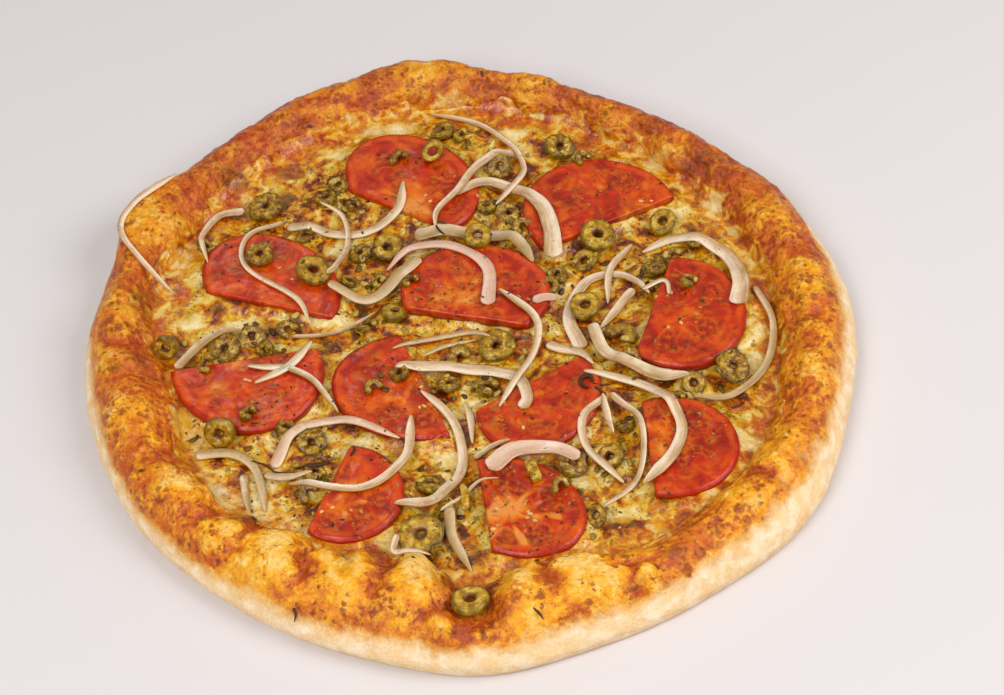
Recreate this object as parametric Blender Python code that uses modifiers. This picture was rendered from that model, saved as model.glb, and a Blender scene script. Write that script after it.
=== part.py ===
"""Round pizza with a puffy cheese-baked rim, tomato halves, onion strips and olive rings.

The origin is the middle of the flat underside and +Z is up. Blender units are metres.
The tables give millimetres and degrees; angles run from +X towards +Y.
"""

import math
import random

import bmesh
import bpy
from mathutils import Matrix, Vector, noise
from mathutils.bvhtree import BVHTree

MM = 0.001

# Driving dimensions, in millimetres
RIM_RADIUS = 160.3          # outer edge of the rim before its bulges
CHEESE_RADIUS = 129.7       # inner edge of the rim before its bulges
RIM_HEIGHT = 22.0
FLOOR_THICKNESS = 6.0
CHEESE_THICKNESS = 3.2
TOMATO_THICKNESS = 4.6
OLIVE_THICKNESS = 3.8
OLIVE_HOLE = 3.6            # diameter of the pitted hole
STRIP_THICKNESS = 1.6
GAP = 0.35                  # air left between a topping and what it rests on

ROUND_STEPS = 96
CHEESE_CELLS = 24           # four times this is the number of steps round
OLIVE_STEPS = 12
STRIP_STEP = 6.5
SEED = 41

# (direction, half width in degrees, height in mm) of the swellings of the outer edge
OUTER_BULGES = (
    (26, 5, 2.6), (38, 16, -2.4), (60, 16, -4.6), (95, 10, 13.0), (114, 12, 8.6), (131, 9, 4.2),
    (149, 7, 7.5), (172, 16, 1.6), (210, 12, 1.4), (222, 30, -4.0), (270, 12, 4.6), (294, 12, 1.6), (322, 16, 8.1), (0, 22, 5.6),
)

# The same for the inner edge, where the lobes of the near side lean over the cheese
INNER_BULGES = (
    (95, 34, 10.4), (135, 22, 4.7), (165, 14, 4.7), (190, 14, -9.6), (235, 16, -12.5),
    (256, 10, -16.0), (281, 10, -9.6), (330, 20, 5.2),
)

# Blisters and dents of the rim: direction, radius, half size along, half size across, height
RIM_LOBES = (
    (193, 144, 21, 15, 3.6), (212, 132, 19, 16, 3.8), (225, 141, 12, 9, 1.6), (234, 138, 16, 16, 4.0),
    (247, 133, 17, 15, 3.6), (259, 131, 15, 16, 4.8), (264, 151, 6, 5, 3.0),
    (267, 128, 5, 9, -7.0), (269, 143, 10, 10, -8.0),
    (277, 141, 17, 16, 3.4), (287, 139, 20, 17, 4.4), (295, 153, 7, 6, 1.8), (303, 150, 12, 12, 1.0),
    (316, 147, 15, 13, 2.4), (326, 147, 14, 14, 2.4), (345, 148, 22, 14, 2.6), (3, 146, 20, 13, 2.2),
    (19, 143, 18, 12, 1.8), (44, 136, 13, 10, 1.8), (58, 136, 12, 10, 1.6), (74, 146, 16, 12, 2.0),
    (92, 154, 26, 13, 2.8), (110, 153, 18, 12, 1.8), (123, 129, 6, 6, -3.0), (133, 137, 8, 6, -2.5),
    (151, 152, 22, 15, 5.5), (170, 148, 18, 13, 2.0), (182, 148, 13, 12, 1.4),
)

# Section of the rim: share of the way from the inner to the outer edge, share of its height
RIM_SECTION = (
    (0.045, 0.20), (0.13, 0.56), (0.25, 0.82), (0.40, 0.97), (0.56, 1.00), (0.71, 0.93), (0.84, 0.77),
    (0.94, 0.56), (1.00, 0.34), (0.99, 0.15), (0.955, 0.03), (0.90, 0.0),
)

# Half slices of tomato: middle of the cut edge, its direction, which side the round part is on,
# then the ellipse that it was cut from: distance of the centre from the cut, half axes, lean
TOMATOES = (
    ("tomato_1", -24, 77, -34, 1, 17, 33.5, 26.5, -0.21),
    ("tomato_2", 68, 58, -158, -1, 7.5, 32.7, 34.0, 0.09),
    ("tomato_3", -82, 27, -22, 1, 12, 32.3, 27.0, -0.29),
    ("tomato_4", 2, 9, -17, 1, 15.5, 32.3, 27.0, 0.04),
    ("tomato_5", -92, -4, 5, -1, 4.5, 31.7, 34.8, 0.10),
    ("tomato_6", -17, -25, -72, -1, 2, 30.3, 35.0, -0.22),
    ("tomato_7", 26, -29, 28, -1, 10, 28.1, 24.1, -0.10),
    ("tomato_8", 82, 7, -111, 1, 12, 30.1, 28.2, 0.09),
    ("tomato_9", 72, -69, -89, 1, 9.7, 25.7, 27.0, 0.03),
    ("tomato_10", 4, -91, -86, 1, 12, 25.2, 27.7, 0.25),
    ("tomato_11", -58, -76, -114, 1, 7.5, 24.1, 23.8, 0.04),
)

# Olive rings that lie free: centre, outer diameter, tilt, direction it leans to, length in round
OLIVES = (
    ("olive_1", -83, 86, 16, 12, 200, 360), ("olive_2", -62, 41, 15, 8, 300, 360),
    ("olive_3", -85, 53, 12, 14, 240, 360), ("olive_4", 62, 49, 15.5, 10, 290, 360),
    ("olive_5", 50, 109, 13.5, 10, 250, 360), ("olive_6", 91, 57, 12.5, 10, 270, 360),
    ("olive_7", -30, 56, 13.5, 12, 260, 360), ("olive_8", 14, -6, 16, 8, 280, 360),
    ("olive_9", 66, -7, 15, 10, 200, 220), ("olive_10", 111, -32, 16, 10, 300, 360),
    ("olive_11", -22, -104, 18, 18, 250, 360), ("olive_12", 41, -73, 13, 22, 280, 360),
    ("olive_13", -125, 6, 11, 70, 250, 360), ("olive_14", -102, -44, 14, 62, 255, 360),
    ("olive_15", -7, 106, 10, 60, 270, 360), ("olive_16", -4, -142, 14.5, 7, 90, 360),
)

# Olive rings laid on top of onion strips
TOP_OLIVES = (
    ("olive_17", 10, 52, 12, 10, 260, 360), ("olive_18", 53, 11, 13.5, 8, 270, 360),
)

# Olive rings half sunk in the cheese: centre, outer diameter, tilt, direction it leans to
SUNK_OLIVES = (
    (-56, 89, 11, 16, 120), (24, 70, 12, 14, 300), (-101, 5, 15, 24, 240), (-28, 17, 12, 18, 60),
    (43, 31, 10, 20, 200), (84, 30, 12, 26, 140), (94, -36, 11, 20, 280), (-65, -50, 13, 18, 260),
    (-2, 124, 11, 24, 160), (56, -71, 12, 24, 220), (-64, -66, 11, 22, 20), (-17, -77, 13, 22, 90),
)

# Onion strips that lie in the cheese: width at the start and the end, then the route
LOW_STRIPS = (
    ("onion_1", 3.5, 3.0, ((-121, -6), (-114, 5), (-104, 11), (-93, 12))),
    ("onion_2", 3.8, 3.0, ((-113, -52), (-99, -51), (-90, -57), (-86, -68), (-84, -83))),
    ("onion_3", 2.4, 3.0, ((126, 16), (131, -6), (125, -29), (109, -43), (93, -45))),
)

# The other strips, from the lowest to the topmost
STRIPS = (
    ("onion_4", 3.5, 7.0, ((0, 81), (19, 90), (37, 74), (42, 57), (42, 40))),
    ("onion_5", 4.0, 1.8, ((30, 109), (14, 100), (3, 83), (-7, 72), (-8, 60))),
    ("onion_6", 3.6, 1.6, ((-92, 84), (-104, 84), (-111, 71), (-108, 53))),
    ("onion_7", 6.3, 4.3, ((-18, 60), (6, 59), (25, 55), (33, 36))),
    ("onion_8", 3.8, 3.2, ((-74, 75), (-44, 67), (-25, 75), (-21, 93))),
    ("onion_9", 1.8, 2.2, ((-75, 78), (-91, 66), (-91, 48), (-70, 28), (-64, 14))),
    ("onion_10", 3.6, 5.4, ((-56, 33), (-40, 26), (-24, 35), (-16, 44))),
    ("onion_11", 1.6, 2.6, ((-59, 85), (-49, 78), (-47, 61), (-52, 42), (-56, 37))),
    ("onion_12", 2.4, 5.5, ((-31, 43), (-19, 53), (-1, 49), (13, 35), (12, 13))),
    ("onion_13", 3.0, 7.0, ((80, 42), (96, 48), (115, 37), (120, 17), (117, 1))),
    ("onion_14", 2.4, 5.6, ((81, 13), (71, 29), (56, 28), (46, 9), (50, -10))),
    ("onion_15", 3.4, 3.0, ((75, 17), (69, 12), (58, 0))),
    ("onion_16", 3.0, 2.4, ((77, 48), (66, 33), (63, 14))),
    ("onion_17", 4.3, 5.6, ((55, 2), (60, -15), (77, -28), (93, -34))),
    ("onion_18", 4.2, 2.4, ((-81, -60), (-71, -44), (-51, -41), (-28, -54))),
    ("onion_19", 3.6, 2.6, ((-23, -42), (-27, -65), (-45, -79), (-75, -70))),
    ("onion_20", 4.4, 4.4, ((-29, -18), (-5, -16), (19, -22), (25, -37), (22, -44))),
    ("onion_21", 2.8, 4.4, ((-19, -29), (-6, -46), (-4, -69), (-15, -86), (-32, -88))),
    ("onion_22", 7.2, 4.4, ((7, -75), (18, -66), (33, -67), (44, -74))),
    ("onion_23", 3.0, 2.4, ((17, 21), (30, 7), (32, -4), (25, -20), (13, -42))),
    ("onion_24", 3.0, 4.6, ((49, -26), (73, -33), (86, -57), (82, -74), (68, -89))),
    ("onion_25", 3.0, 2.6, ((58, -41), (47, -51), (48, -67), (61, -84))),
    ("onion_26", 2.6, 1.8, ((59, -38), (70, -55), (67, -81), (50, -95))),
    ("onion_27", 2.0, 2.4, ((-7, 138), (18, 126), (33, 99), (19, 74))),
    ("onion_28", 3.0, 1.8, ((-121, 101), (-139, 84), (-145, 69), (-137, 52), (-122, 36))),
)

# One strip that is split into prongs: width at the start and the end, then the route
PRONGS = (
    (3.4, 2.8, ((-63, 2), (-73, -11), (-88, -19))),
    (2.6, 2.8, ((-91, -9), (-82, -11), (-74, -12))),
    (2.6, 1.8, ((-75, -11), (-64, -19), (-57, -30), (-53, -38))),
)

FLAKES = 38                 # dried leaf crumbs large enough to be shapes here


def material(name, colour, roughness):
    mat = bpy.data.materials.new(name)
    mat.use_nodes = True
    shader = mat.node_tree.nodes["Principled BSDF"]
    shader.inputs["Base Color"].default_value = (*colour, 1.0)
    shader.inputs["Roughness"].default_value = roughness
    shader.inputs["Metallic"].default_value = 0.0
    return mat


def new_object(name, data, collection, mat=None):
    obj = bpy.data.objects.new(name, data)
    collection.objects.link(obj)
    if mat is not None:
        obj.data.materials.append(mat)
    return obj


def apply_as_mesh(obj, collection):
    """Turn an object with modifiers, or a curve, into one welded mesh object."""
    bpy.context.view_layer.update()
    name = obj.name
    graph = bpy.context.evaluated_depsgraph_get()
    mesh = bpy.data.meshes.new_from_object(obj.evaluated_get(graph))
    matrix = obj.matrix_world.copy()
    bpy.data.objects.remove(obj)
    solid = bpy.data.objects.new(name, mesh)
    solid.matrix_world = matrix
    collection.objects.link(solid)
    shape = bmesh.new()
    shape.from_mesh(mesh)
    bmesh.ops.remove_doubles(shape, verts=shape.verts, dist=0.00002)
    bmesh.ops.recalc_face_normals(shape, faces=shape.faces)
    shape.to_mesh(mesh)
    shape.free()
    mesh.name = name
    return solid


def remove_unused(kind):
    for block in [b for b in kind if b.users == 0]:
        kind.remove(block)


# Shape of the rim and of the cheese

def angle_between(a, b):
    return (a - b + 180.0) % 360.0 - 180.0


def bulged(radius, bulges, degrees):
    for centre, width, height in bulges:
        radius += height * math.exp(-(angle_between(degrees, centre) / width) ** 2)
    return radius


def outer_radius(degrees):
    return bulged(RIM_RADIUS, OUTER_BULGES, degrees)


def inner_radius(degrees):
    return bulged(CHEESE_RADIUS, INNER_BULGES, degrees)


def rim_relief(degrees, radius):
    """Height that the blisters and dents add at a place on the rim."""
    height = 0.0
    for centre, distance, along, across, rise in RIM_LOBES:
        side = math.radians(angle_between(degrees, centre)) * distance
        height += rise * math.exp(-(side / along) ** 2 - ((radius - distance) / across) ** 2)
    place = Vector((math.cos(math.radians(degrees)), math.sin(math.radians(degrees)), 0)) * radius
    return height + 1.1 * noise.noise(place / 13.0) + 0.5 * noise.noise(place / 6.0)


def build_crust(collection, mat):
    """Base and rim: a turned section, then pushed out to the uneven hand-stretched form."""
    profile = bmesh.new()
    stations = [(share * CHEESE_RADIUS, FLOOR_THICKNESS) for share in (0.0, 0.97, 1.0)]
    width = RIM_RADIUS - CHEESE_RADIUS
    for across, up in RIM_SECTION:
        height = RIM_HEIGHT * up
        if across < 0.2:
            height = FLOOR_THICKNESS + (RIM_HEIGHT - FLOOR_THICKNESS) * up
        stations.append((CHEESE_RADIUS + across * width, height))
    stations += [(0.5 * CHEESE_RADIUS, 0.0), (0.0, 0.0)]
    points = [profile.verts.new((r * MM, 0, z * MM)) for r, z in stations]
    for first, second in zip(points, points[1:]):
        profile.edges.new((first, second))
    mesh = bpy.data.meshes.new("crust")
    profile.to_mesh(mesh)
    profile.free()
    obj = new_object("crust", mesh, collection)
    screw = obj.modifiers.new("turn", "SCREW")
    screw.steps = ROUND_STEPS
    screw.render_steps = ROUND_STEPS
    screw.use_merge_vertices = True
    screw.merge_threshold = 0.00001
    obj = apply_as_mesh(obj, collection)
    for vert in obj.data.vertices:
        radius = math.hypot(vert.co.x, vert.co.y) / MM
        if radius < 0.6 * CHEESE_RADIUS:
            continue
        degrees = math.degrees(math.atan2(vert.co.y, vert.co.x)) % 360.0
        inner, outer = inner_radius(degrees), outer_radius(degrees)
        height = vert.co.z / MM
        if radius <= CHEESE_RADIUS + 0.01:
            radius *= inner / CHEESE_RADIUS
        else:
            share = (radius - CHEESE_RADIUS) / width
            radius = inner + share * (outer - inner)
            weight = min(1.0, max(0.0, (height - 5.0) / 12.0))
            height += weight * rim_relief(degrees, radius)
        vert.co.x = radius * MM * math.cos(math.radians(degrees))
        vert.co.y = radius * MM * math.sin(math.radians(degrees))
        vert.co.z = height * MM
    obj.data.materials.append(mat)
    return obj


def build_cheese(collection, mat):
    """Melted cheese: a square grid wrapped to the round, its edge drawn down and closed flat."""
    shape = bmesh.new()
    bmesh.ops.create_grid(shape, x_segments=CHEESE_CELLS, y_segments=CHEESE_CELLS, size=1.0)
    for vert in shape.verts:
        u, v = vert.co.x, vert.co.y
        if abs(u) < 1e-6 and abs(v) < 1e-6:
            share, turn = 0.0, 0.0
        elif abs(u) >= abs(v):
            share, turn = abs(u), math.pi / 4 * v / u + (math.pi if u < 0 else 0.0)
        else:
            share, turn = abs(v), math.pi / 2 - math.pi / 4 * u / v + (math.pi if v < 0 else 0.0)
        radius = share * (inner_radius(math.degrees(turn) % 360.0) - 0.45)
        vert.co.x = radius * math.cos(turn) * MM
        vert.co.y = radius * math.sin(turn) * MM
        place = Vector((vert.co.x, vert.co.y, 0.0)) / MM
        height = FLOOR_THICKNESS + 0.3 + CHEESE_THICKNESS
        height += 0.55 * noise.noise(place / 24.0) + 0.35 * noise.noise(place / 11.0)
        height += 1.6 * max(0.0, share - 0.86) / 0.14
        vert.co.z = height * MM
    rim = [edge for edge in shape.edges if edge.is_boundary]
    side = bmesh.ops.extrude_edge_only(shape, edges=rim)["geom"]
    for vert in [item for item in side if isinstance(item, bmesh.types.BMVert)]:
        vert.co.z = (FLOOR_THICKNESS + 0.3) * MM
    bmesh.ops.holes_fill(shape, edges=[edge for edge in shape.edges if edge.is_boundary], sides=0)
    bmesh.ops.recalc_face_normals(shape, faces=shape.faces)
    mesh = bpy.data.meshes.new("cheese")
    shape.to_mesh(mesh)
    shape.free()
    return new_object("cheese", mesh, collection, mat)


# Laying things on what is already there

class Bed:
    """What has been laid so far, felt from above with rays."""

    def __init__(self):
        self.trees = []

    def add(self, obj):
        verts = [obj.matrix_world @ vert.co for vert in obj.data.vertices]
        faces = [tuple(face.vertices) for face in obj.data.polygons]
        self.trees.append((obj, BVHTree.FromPolygons(verts, faces)))

    def top(self, x, y, reach=0.0):
        """Highest point within reach of a place; x, y and reach in metres."""
        best = 0.0
        places = [(0, 0)]
        if reach > 0:
            places += [(math.cos(k * math.pi / 4), math.sin(k * math.pi / 4)) for k in range(8)]
        for dx, dy in places:
            start = Vector((x + dx * reach, y + dy * reach, 0.2))
            for _, tree in self.trees:
                hit = tree.ray_cast(start, Vector((0, 0, -1)))[0]
                if hit is not None:
                    best = max(best, hit.z)
        return best

    def seen(self, x, y):
        """The topmost object at a place, with the point and the face's normal there."""
        found = (None, Vector((x, y, 0)), Vector((0, 0, 1)))
        for obj, tree in self.trees:
            hit, normal = tree.ray_cast(Vector((x, y, 0.2)), Vector((0, 0, -1)))[:2]
            if hit is not None and hit.z > found[1].z:
                found = (obj, hit, normal)
        return found


def settle(obj, bed, step=0.9):
    """Lower a loose piece until the gap is all that is left under it."""
    bpy.context.view_layer.update()
    verts = [obj.matrix_world @ vert.co for vert in obj.data.vertices]
    tree = BVHTree.FromPolygons(verts, [tuple(face.vertices) for face in obj.data.polygons])
    low_x, high_x = min(v.x for v in verts), max(v.x for v in verts)
    low_y, high_y = min(v.y for v in verts), max(v.y for v in verts)
    lift = -1.0
    step *= MM
    for i in range(int((high_x - low_x) / step) + 2):
        for j in range(int((high_y - low_y) / step) + 2):
            x, y = low_x + i * step, low_y + j * step
            hit = tree.ray_cast(Vector((x, y, -0.2)), Vector((0, 0, 1)))[0]
            if hit is not None:
                lift = max(lift, bed.top(x, y, step) - hit.z)
    obj.location.z += lift + GAP * MM
    bpy.context.view_layer.update()
    bed.add(obj)


# Toppings

def build_tomato(spec, collection, mat, bed):
    """Half a tomato slice: an ellipse cut by a straight knife, with the skin edge rounded."""
    name, x, y, heading, side, centre, half_long, half_deep, lean = spec
    start = -math.asin(centre / half_deep)
    count = 18
    curve = bpy.data.curves.new(name, "CURVE")
    curve.dimensions = "2D"
    curve.fill_mode = "BOTH"
    curve.bevel_depth = 0.9 * MM
    curve.bevel_resolution = 0
    curve.extrude = (TOMATO_THICKNESS / 2 - 0.9) * MM
    curve.offset = -0.9 * MM
    line = curve.splines.new("POLY")
    line.points.add(count - 1)
    for k, point in enumerate(line.points):
        turn = start + (math.pi - 2 * start) * k / (count - 1)
        deep = centre + half_deep * math.sin(turn)
        long = half_long * math.cos(turn) + lean * deep
        point.co = (long * MM, side * deep * MM, 0, 1)
    line.use_cyclic_u = True
    obj = new_object(name, curve, collection, mat)
    obj.location = (x * MM, y * MM, 0.05)
    obj.rotation_euler = (0, 0, math.radians(heading))
    obj = apply_as_mesh(obj, collection)
    settle(obj, bed, 1.6)
    return obj


def ring_mesh(name, diameter, thickness, sweep, seed):
    """A slice across a pitted olive, a little out of round and shrunk by the oven."""
    outer, hole = diameter / 2, OLIVE_HOLE / 2
    section = bmesh.new()
    corners = ((hole, -thickness * 0.5), (hole, thickness * 0.5), (outer * 0.9, thickness * 0.46),
               (outer, 0.0), (outer * 0.9, -thickness * 0.46))
    verts = [section.verts.new((r * MM, 0, z * MM)) for r, z in corners]
    edges = [section.edges.new((verts[k], verts[k - 1])) for k in range(len(verts))]
    steps = max(6, round(OLIVE_STEPS * sweep / 360))
    bmesh.ops.spin(section, geom=verts + edges, cent=(0, 0, 0), axis=(0, 0, 1),
                   angle=math.radians(sweep), steps=steps, use_duplicate=False)
    bmesh.ops.remove_doubles(section, verts=section.verts, dist=0.00001)
    open_edges = [edge for edge in section.edges if edge.is_boundary]
    if open_edges:
        bmesh.ops.holes_fill(section, edges=open_edges, sides=0)
    draw = random.Random(seed)
    stretch, turn = draw.uniform(0.0, 0.12), draw.uniform(0, math.pi)
    for vert in section.verts:
        angle = math.atan2(vert.co.y, vert.co.x)
        radius = vert.co.xy.length
        waver = 1 + stretch * math.cos(2 * (angle - turn))
        if radius > 0.6 * outer * MM:
            waver += 0.10 * noise.noise(Vector((math.cos(angle), math.sin(angle), seed * 3.7)) * 1.6)
        vert.co.x *= waver
        vert.co.y *= waver
        vert.co.z *= 1 + 0.25 * noise.noise(Vector((vert.co.x, vert.co.y, 0)) * 180 + Vector((seed, 0, 0)))
    bmesh.ops.recalc_face_normals(section, faces=section.faces)
    mesh = bpy.data.meshes.new(name)
    section.to_mesh(mesh)
    section.free()
    return mesh


def build_olive(spec, collection, mat, bed, seed):
    name, x, y, diameter, tilt, towards, sweep = spec
    obj = new_object(name, ring_mesh(name, diameter, OLIVE_THICKNESS, sweep, seed), collection, mat)
    axis = Vector((-math.sin(math.radians(towards)), math.cos(math.radians(towards)), 0))
    turned = Matrix.Rotation(math.radians(tilt), 4, axis) @ Matrix.Rotation(seed * 1.3, 4, "Z")
    obj.rotation_euler = turned.to_euler()
    obj.location = (x * MM, y * MM, 0.05)
    settle(obj, bed)
    return obj


def smooth_route(points, step):
    """Even steps along a smooth curve through the route's own points."""
    ends = [2 * Vector(points[0]) - Vector(points[1]), *map(Vector, points),
            2 * Vector(points[-1]) - Vector(points[-2])]
    dense = []
    for a, b, c, d in zip(ends, ends[1:], ends[2:], ends[3:]):
        for k in range(24):
            t = k / 24
            dense.append(0.5 * (2 * b + (c - a) * t + (2 * a - 5 * b + 4 * c - d) * t * t
                                + (3 * b - 3 * c + d - a) * t ** 3))
    dense.append(Vector(points[-1]))
    length = sum((q - p).length for p, q in zip(dense, dense[1:]))
    count = max(4, round(length / step))
    route, walked, wanted = [dense[0]], 0.0, 1
    for p, q in zip(dense, dense[1:]):
        hop = (q - p).length
        while wanted < count and walked + hop >= wanted * length / count:
            route.append(p.lerp(q, (wanted * length / count - walked) / hop))
            wanted += 1
        walked += hop
    return route + [dense[-1]]


def drape(route, widths, bed):
    """Heights of a limp strip: over everything under it, bridging what it can't follow."""
    need = []
    for k, place in enumerate(route):
        ahead = route[min(k + 1, len(route) - 1)]
        behind = route[max(k - 1, 0)]
        along = (ahead - behind).normalized()
        across = Vector((-along.y, along.x))
        half = widths[k] / 2 + 0.9
        highest = 0.0
        for far in (-0.62, -0.36, -0.12, 0.12, 0.36, 0.62):
            for wide in (-1.0, -0.5, 0.0, 0.5, 1.0):
                spot = place + along * (far * STRIP_STEP) + across * (wide * half)
                highest = max(highest, bed.top(spot.x * MM, spot.y * MM))
        need.append(highest / MM + GAP + STRIP_THICKNESS / 2 + 0.15)
    heights = list(need)
    steepest = 0.55 * STRIP_STEP
    for k in range(1, len(heights)):
        heights[k] = max(heights[k], heights[k - 1] - steepest)
    for k in range(len(heights) - 2, -1, -1):
        heights[k] = max(heights[k], heights[k + 1] - steepest)
    return heights


def sweep_strip(name, first_width, last_width, points, collection, bed, section):
    """A band that narrows from one width to the other along its route."""
    route = smooth_route(points, STRIP_STEP)
    last = len(route) - 1
    widths = [first_width + (last_width - first_width) * k / last for k in range(last + 1)]
    heights = drape(route, widths, bed)
    widest = max(widths)
    curve = bpy.data.curves.new(name, "CURVE")
    curve.dimensions = "3D"
    curve.twist_mode = "Z_UP"
    curve.bevel_mode = "OBJECT"
    curve.bevel_object = section(widest)
    curve.use_fill_caps = True
    line = curve.splines.new("POLY")
    line.points.add(last)
    for k, point in enumerate(line.points):
        point.co = (route[k].x * MM, route[k].y * MM, heights[k] * MM, 1)
        point.radius = widths[k] / widest * (0.7 if k in (0, last) else 1.0)
    return apply_as_mesh(new_object(name, curve, collection), collection)


def build_strip(spec, collection, mat, bed, section):
    obj = sweep_strip(*spec, collection, bed, section)
    obj.data.materials.append(mat)
    bed.add(obj)


def build_pronged_strip(name, collection, mat, bed, section):
    """A strip that split at the root: the prongs are joined where they meet."""
    first, *others = [sweep_strip(f"{name}_prong_{k}", *spec, collection, bed, section)
                      for k, spec in enumerate(PRONGS)]
    first.name = name
    joined = fuse(first, others, f"{name}_prongs")
    joined.data.materials.clear()
    joined.data.materials.append(mat)
    bed.add(joined)


class Sections:
    """Guide outlines that the strips are swept with, one for each width."""

    def __init__(self, collection):
        self.collection = collection
        self.made = {}

    def __call__(self, width):
        key = round(width, 2)
        if key not in self.made:
            curve = bpy.data.curves.new(f"strip_section_{key}", "CURVE")
            curve.dimensions = "2D"
            line = curve.splines.new("POLY")
            line.points.add(3)
            wide, thick = width / 2 * MM, STRIP_THICKNESS / 2 * MM
            for point, co in zip(line.points, ((-wide, -thick * 0.7), (wide, -thick * 0.7),
                                               (wide * 0.8, thick), (-wide * 0.8, thick))):
                point.co = (*co, 0, 1)
            line.use_cyclic_u = True
            guide = new_object(curve.name, curve, self.collection)
            guide.hide_render = True
            guide.display_type = "WIRE"
            self.made[key] = guide
        return self.made[key]

    def remove(self):
        for guide in self.made.values():
            bpy.data.objects.remove(guide)
        self.made = {}


# Small things joined to what they lie on

def fuse(target, pieces, name):
    """One Boolean union of a collection of small pieces with the piece under them."""
    group = bpy.data.collections.new(name)
    bpy.context.scene.collection.children.link(group)
    for piece in pieces:
        for owner in piece.users_collection:
            owner.objects.unlink(piece)
        group.objects.link(piece)
    union = target.modifiers.new("fuse", "BOOLEAN")
    union.operation = "UNION"
    union.operand_type = "COLLECTION"
    union.collection = group
    union.solver = "MANIFOLD"
    home = target.users_collection[0]
    joined = apply_as_mesh(target, home)
    for piece in list(group.objects):
        bpy.data.objects.remove(piece)
    bpy.data.collections.remove(group)
    return joined


def build_sunk_olives(collection, bed):
    pieces = []
    for k, (x, y, diameter, tilt, towards) in enumerate(SUNK_OLIVES):
        name = f"sunk_olive_{k}"
        obj = new_object(name, ring_mesh(name, diameter, OLIVE_THICKNESS, 360, 60 + k), collection)
        axis = Vector((-math.sin(math.radians(towards)), math.cos(math.radians(towards)), 0))
        obj.rotation_euler = Matrix.Rotation(math.radians(tilt), 4, axis).to_euler()
        obj.location = (x * MM, y * MM, bed.top(x * MM, y * MM) + 0.35 * MM)
        bpy.context.view_layer.update()
        lowest = min((obj.matrix_world @ vert.co).z for vert in obj.data.vertices)
        obj.location.z += max(0.0, (FLOOR_THICKNESS + 0.9) * MM - lowest)
        pieces.append(obj)
    bpy.context.view_layer.update()
    return pieces


def scatter_flakes(collection, bed):
    """Leaf crumbs on bare cheese and tomato, the largest first, each clear of other pieces."""
    draw = random.Random(SEED)
    found = {}
    placed = []
    tries = 0
    while len(placed) < FLAKES and tries < 4000:
        tries += 1
        turn, reach = draw.uniform(0, 2 * math.pi), 112 * math.sqrt(draw.random())
        x, y = reach * math.cos(turn), reach * math.sin(turn)
        length = 3.4 - 1.4 * len(placed) / FLAKES
        if any(math.hypot(x - px, y - py) < 11 for px, py in placed):
            continue
        obj, point, normal = bed.seen(x * MM, y * MM)
        if obj is None or not obj.name.startswith(("cheese", "tomato")):
            continue
        around = []
        for k in range(12):
            for far in (0.6, 1.0):
                spot = far * (length / 2 + 1.1) * MM
                around.append(bed.seen(x * MM + spot * math.cos(k * math.pi / 6),
                                       y * MM + spot * math.sin(k * math.pi / 6)))
        if any(other is not obj or abs(hit.z - point.z) > 0.8 * MM for other, hit, _ in around):
            continue
        shape = bmesh.new()
        bmesh.ops.create_cube(shape, size=1.0)
        for vert in shape.verts:
            vert.co.x *= length * MM * (1 - 0.35 * (vert.co.y > 0))
            vert.co.y *= length * 0.55 * MM * (1 - 0.4 * (vert.co.x > 0))
            vert.co.z *= 1.5 * MM
        mesh = bpy.data.meshes.new("flake")
        shape.to_mesh(mesh)
        shape.free()
        flake = new_object("flake", mesh, collection)
        flake.location = point + normal * 0.12 * MM
        tilt = Vector((0, 0, 1)).rotation_difference(normal).to_matrix().to_4x4()
        flake.rotation_euler = (tilt @ Matrix.Rotation(draw.uniform(0, math.pi), 4, "Z")).to_euler()
        found.setdefault(obj.name, []).append(flake)
        placed.append((x, y))
    bpy.context.view_layer.update()
    return found


def main():
    for obj in list(bpy.data.objects):
        bpy.data.objects.remove(obj)
    pizza = bpy.data.collections.new("pizza")
    cutters = bpy.data.collections.new("cutters")
    bpy.context.scene.collection.children.link(pizza)
    bpy.context.scene.collection.children.link(cutters)

    crust_look = material("baked_crust", (0.72, 0.36, 0.10), 0.6)
    cheese_look = material("melted_cheese", (0.83, 0.70, 0.38), 0.35)
    tomato_look = material("tomato_flesh", (0.62, 0.06, 0.03), 0.3)
    onion_look = material("onion_strip", (0.86, 0.82, 0.70), 0.35)
    olive_look = material("green_olive", (0.34, 0.32, 0.08), 0.35)

    crust = build_crust(pizza, crust_look)
    cheese = build_cheese(pizza, cheese_look)
    first = Bed()
    first.add(cheese)
    cheese = fuse(cheese, build_sunk_olives(cutters, first), "sunk_olives")

    bed = Bed()
    bed.add(crust)
    bed.add(cheese)
    for spec in TOMATOES:
        build_tomato(spec, pizza, tomato_look, bed)
    section = Sections(cutters)
    for spec in LOW_STRIPS:
        build_strip(spec, pizza, onion_look, bed, section)
    for k, spec in enumerate(OLIVES):
        build_olive(spec, pizza, olive_look, bed, k + 1)
    for spec in STRIPS:
        build_strip(spec, pizza, onion_look, bed, section)
    build_pronged_strip("onion_29", pizza, onion_look, bed, section)
    section.remove()
    for k, spec in enumerate(TOP_OLIVES):
        build_olive(spec, pizza, olive_look, bed, k + 31)

    for name, flakes in scatter_flakes(cutters, bed).items():
        fuse(bpy.data.objects[name], flakes, f"flakes_on_{name}")

    remove_unused(bpy.data.meshes)
    remove_unused(bpy.data.curves)


main()
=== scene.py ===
"""Looks of a round pizza: browned rim, melted cheese, tomato halves, onion strips, olive rings.

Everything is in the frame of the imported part: metres, +Z up, the origin under the middle of the
base. The tables give millimetres and degrees, and angles run from +X towards +Y.
"""

import logging
import math
import random
from dataclasses import dataclass
from enum import Enum
from typing import Callable, Optional, Sequence, Union

import bpy
import numpy as np
from mathutils import Matrix, Vector, kdtree, noise
from mathutils.bvhtree import BVHTree


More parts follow.
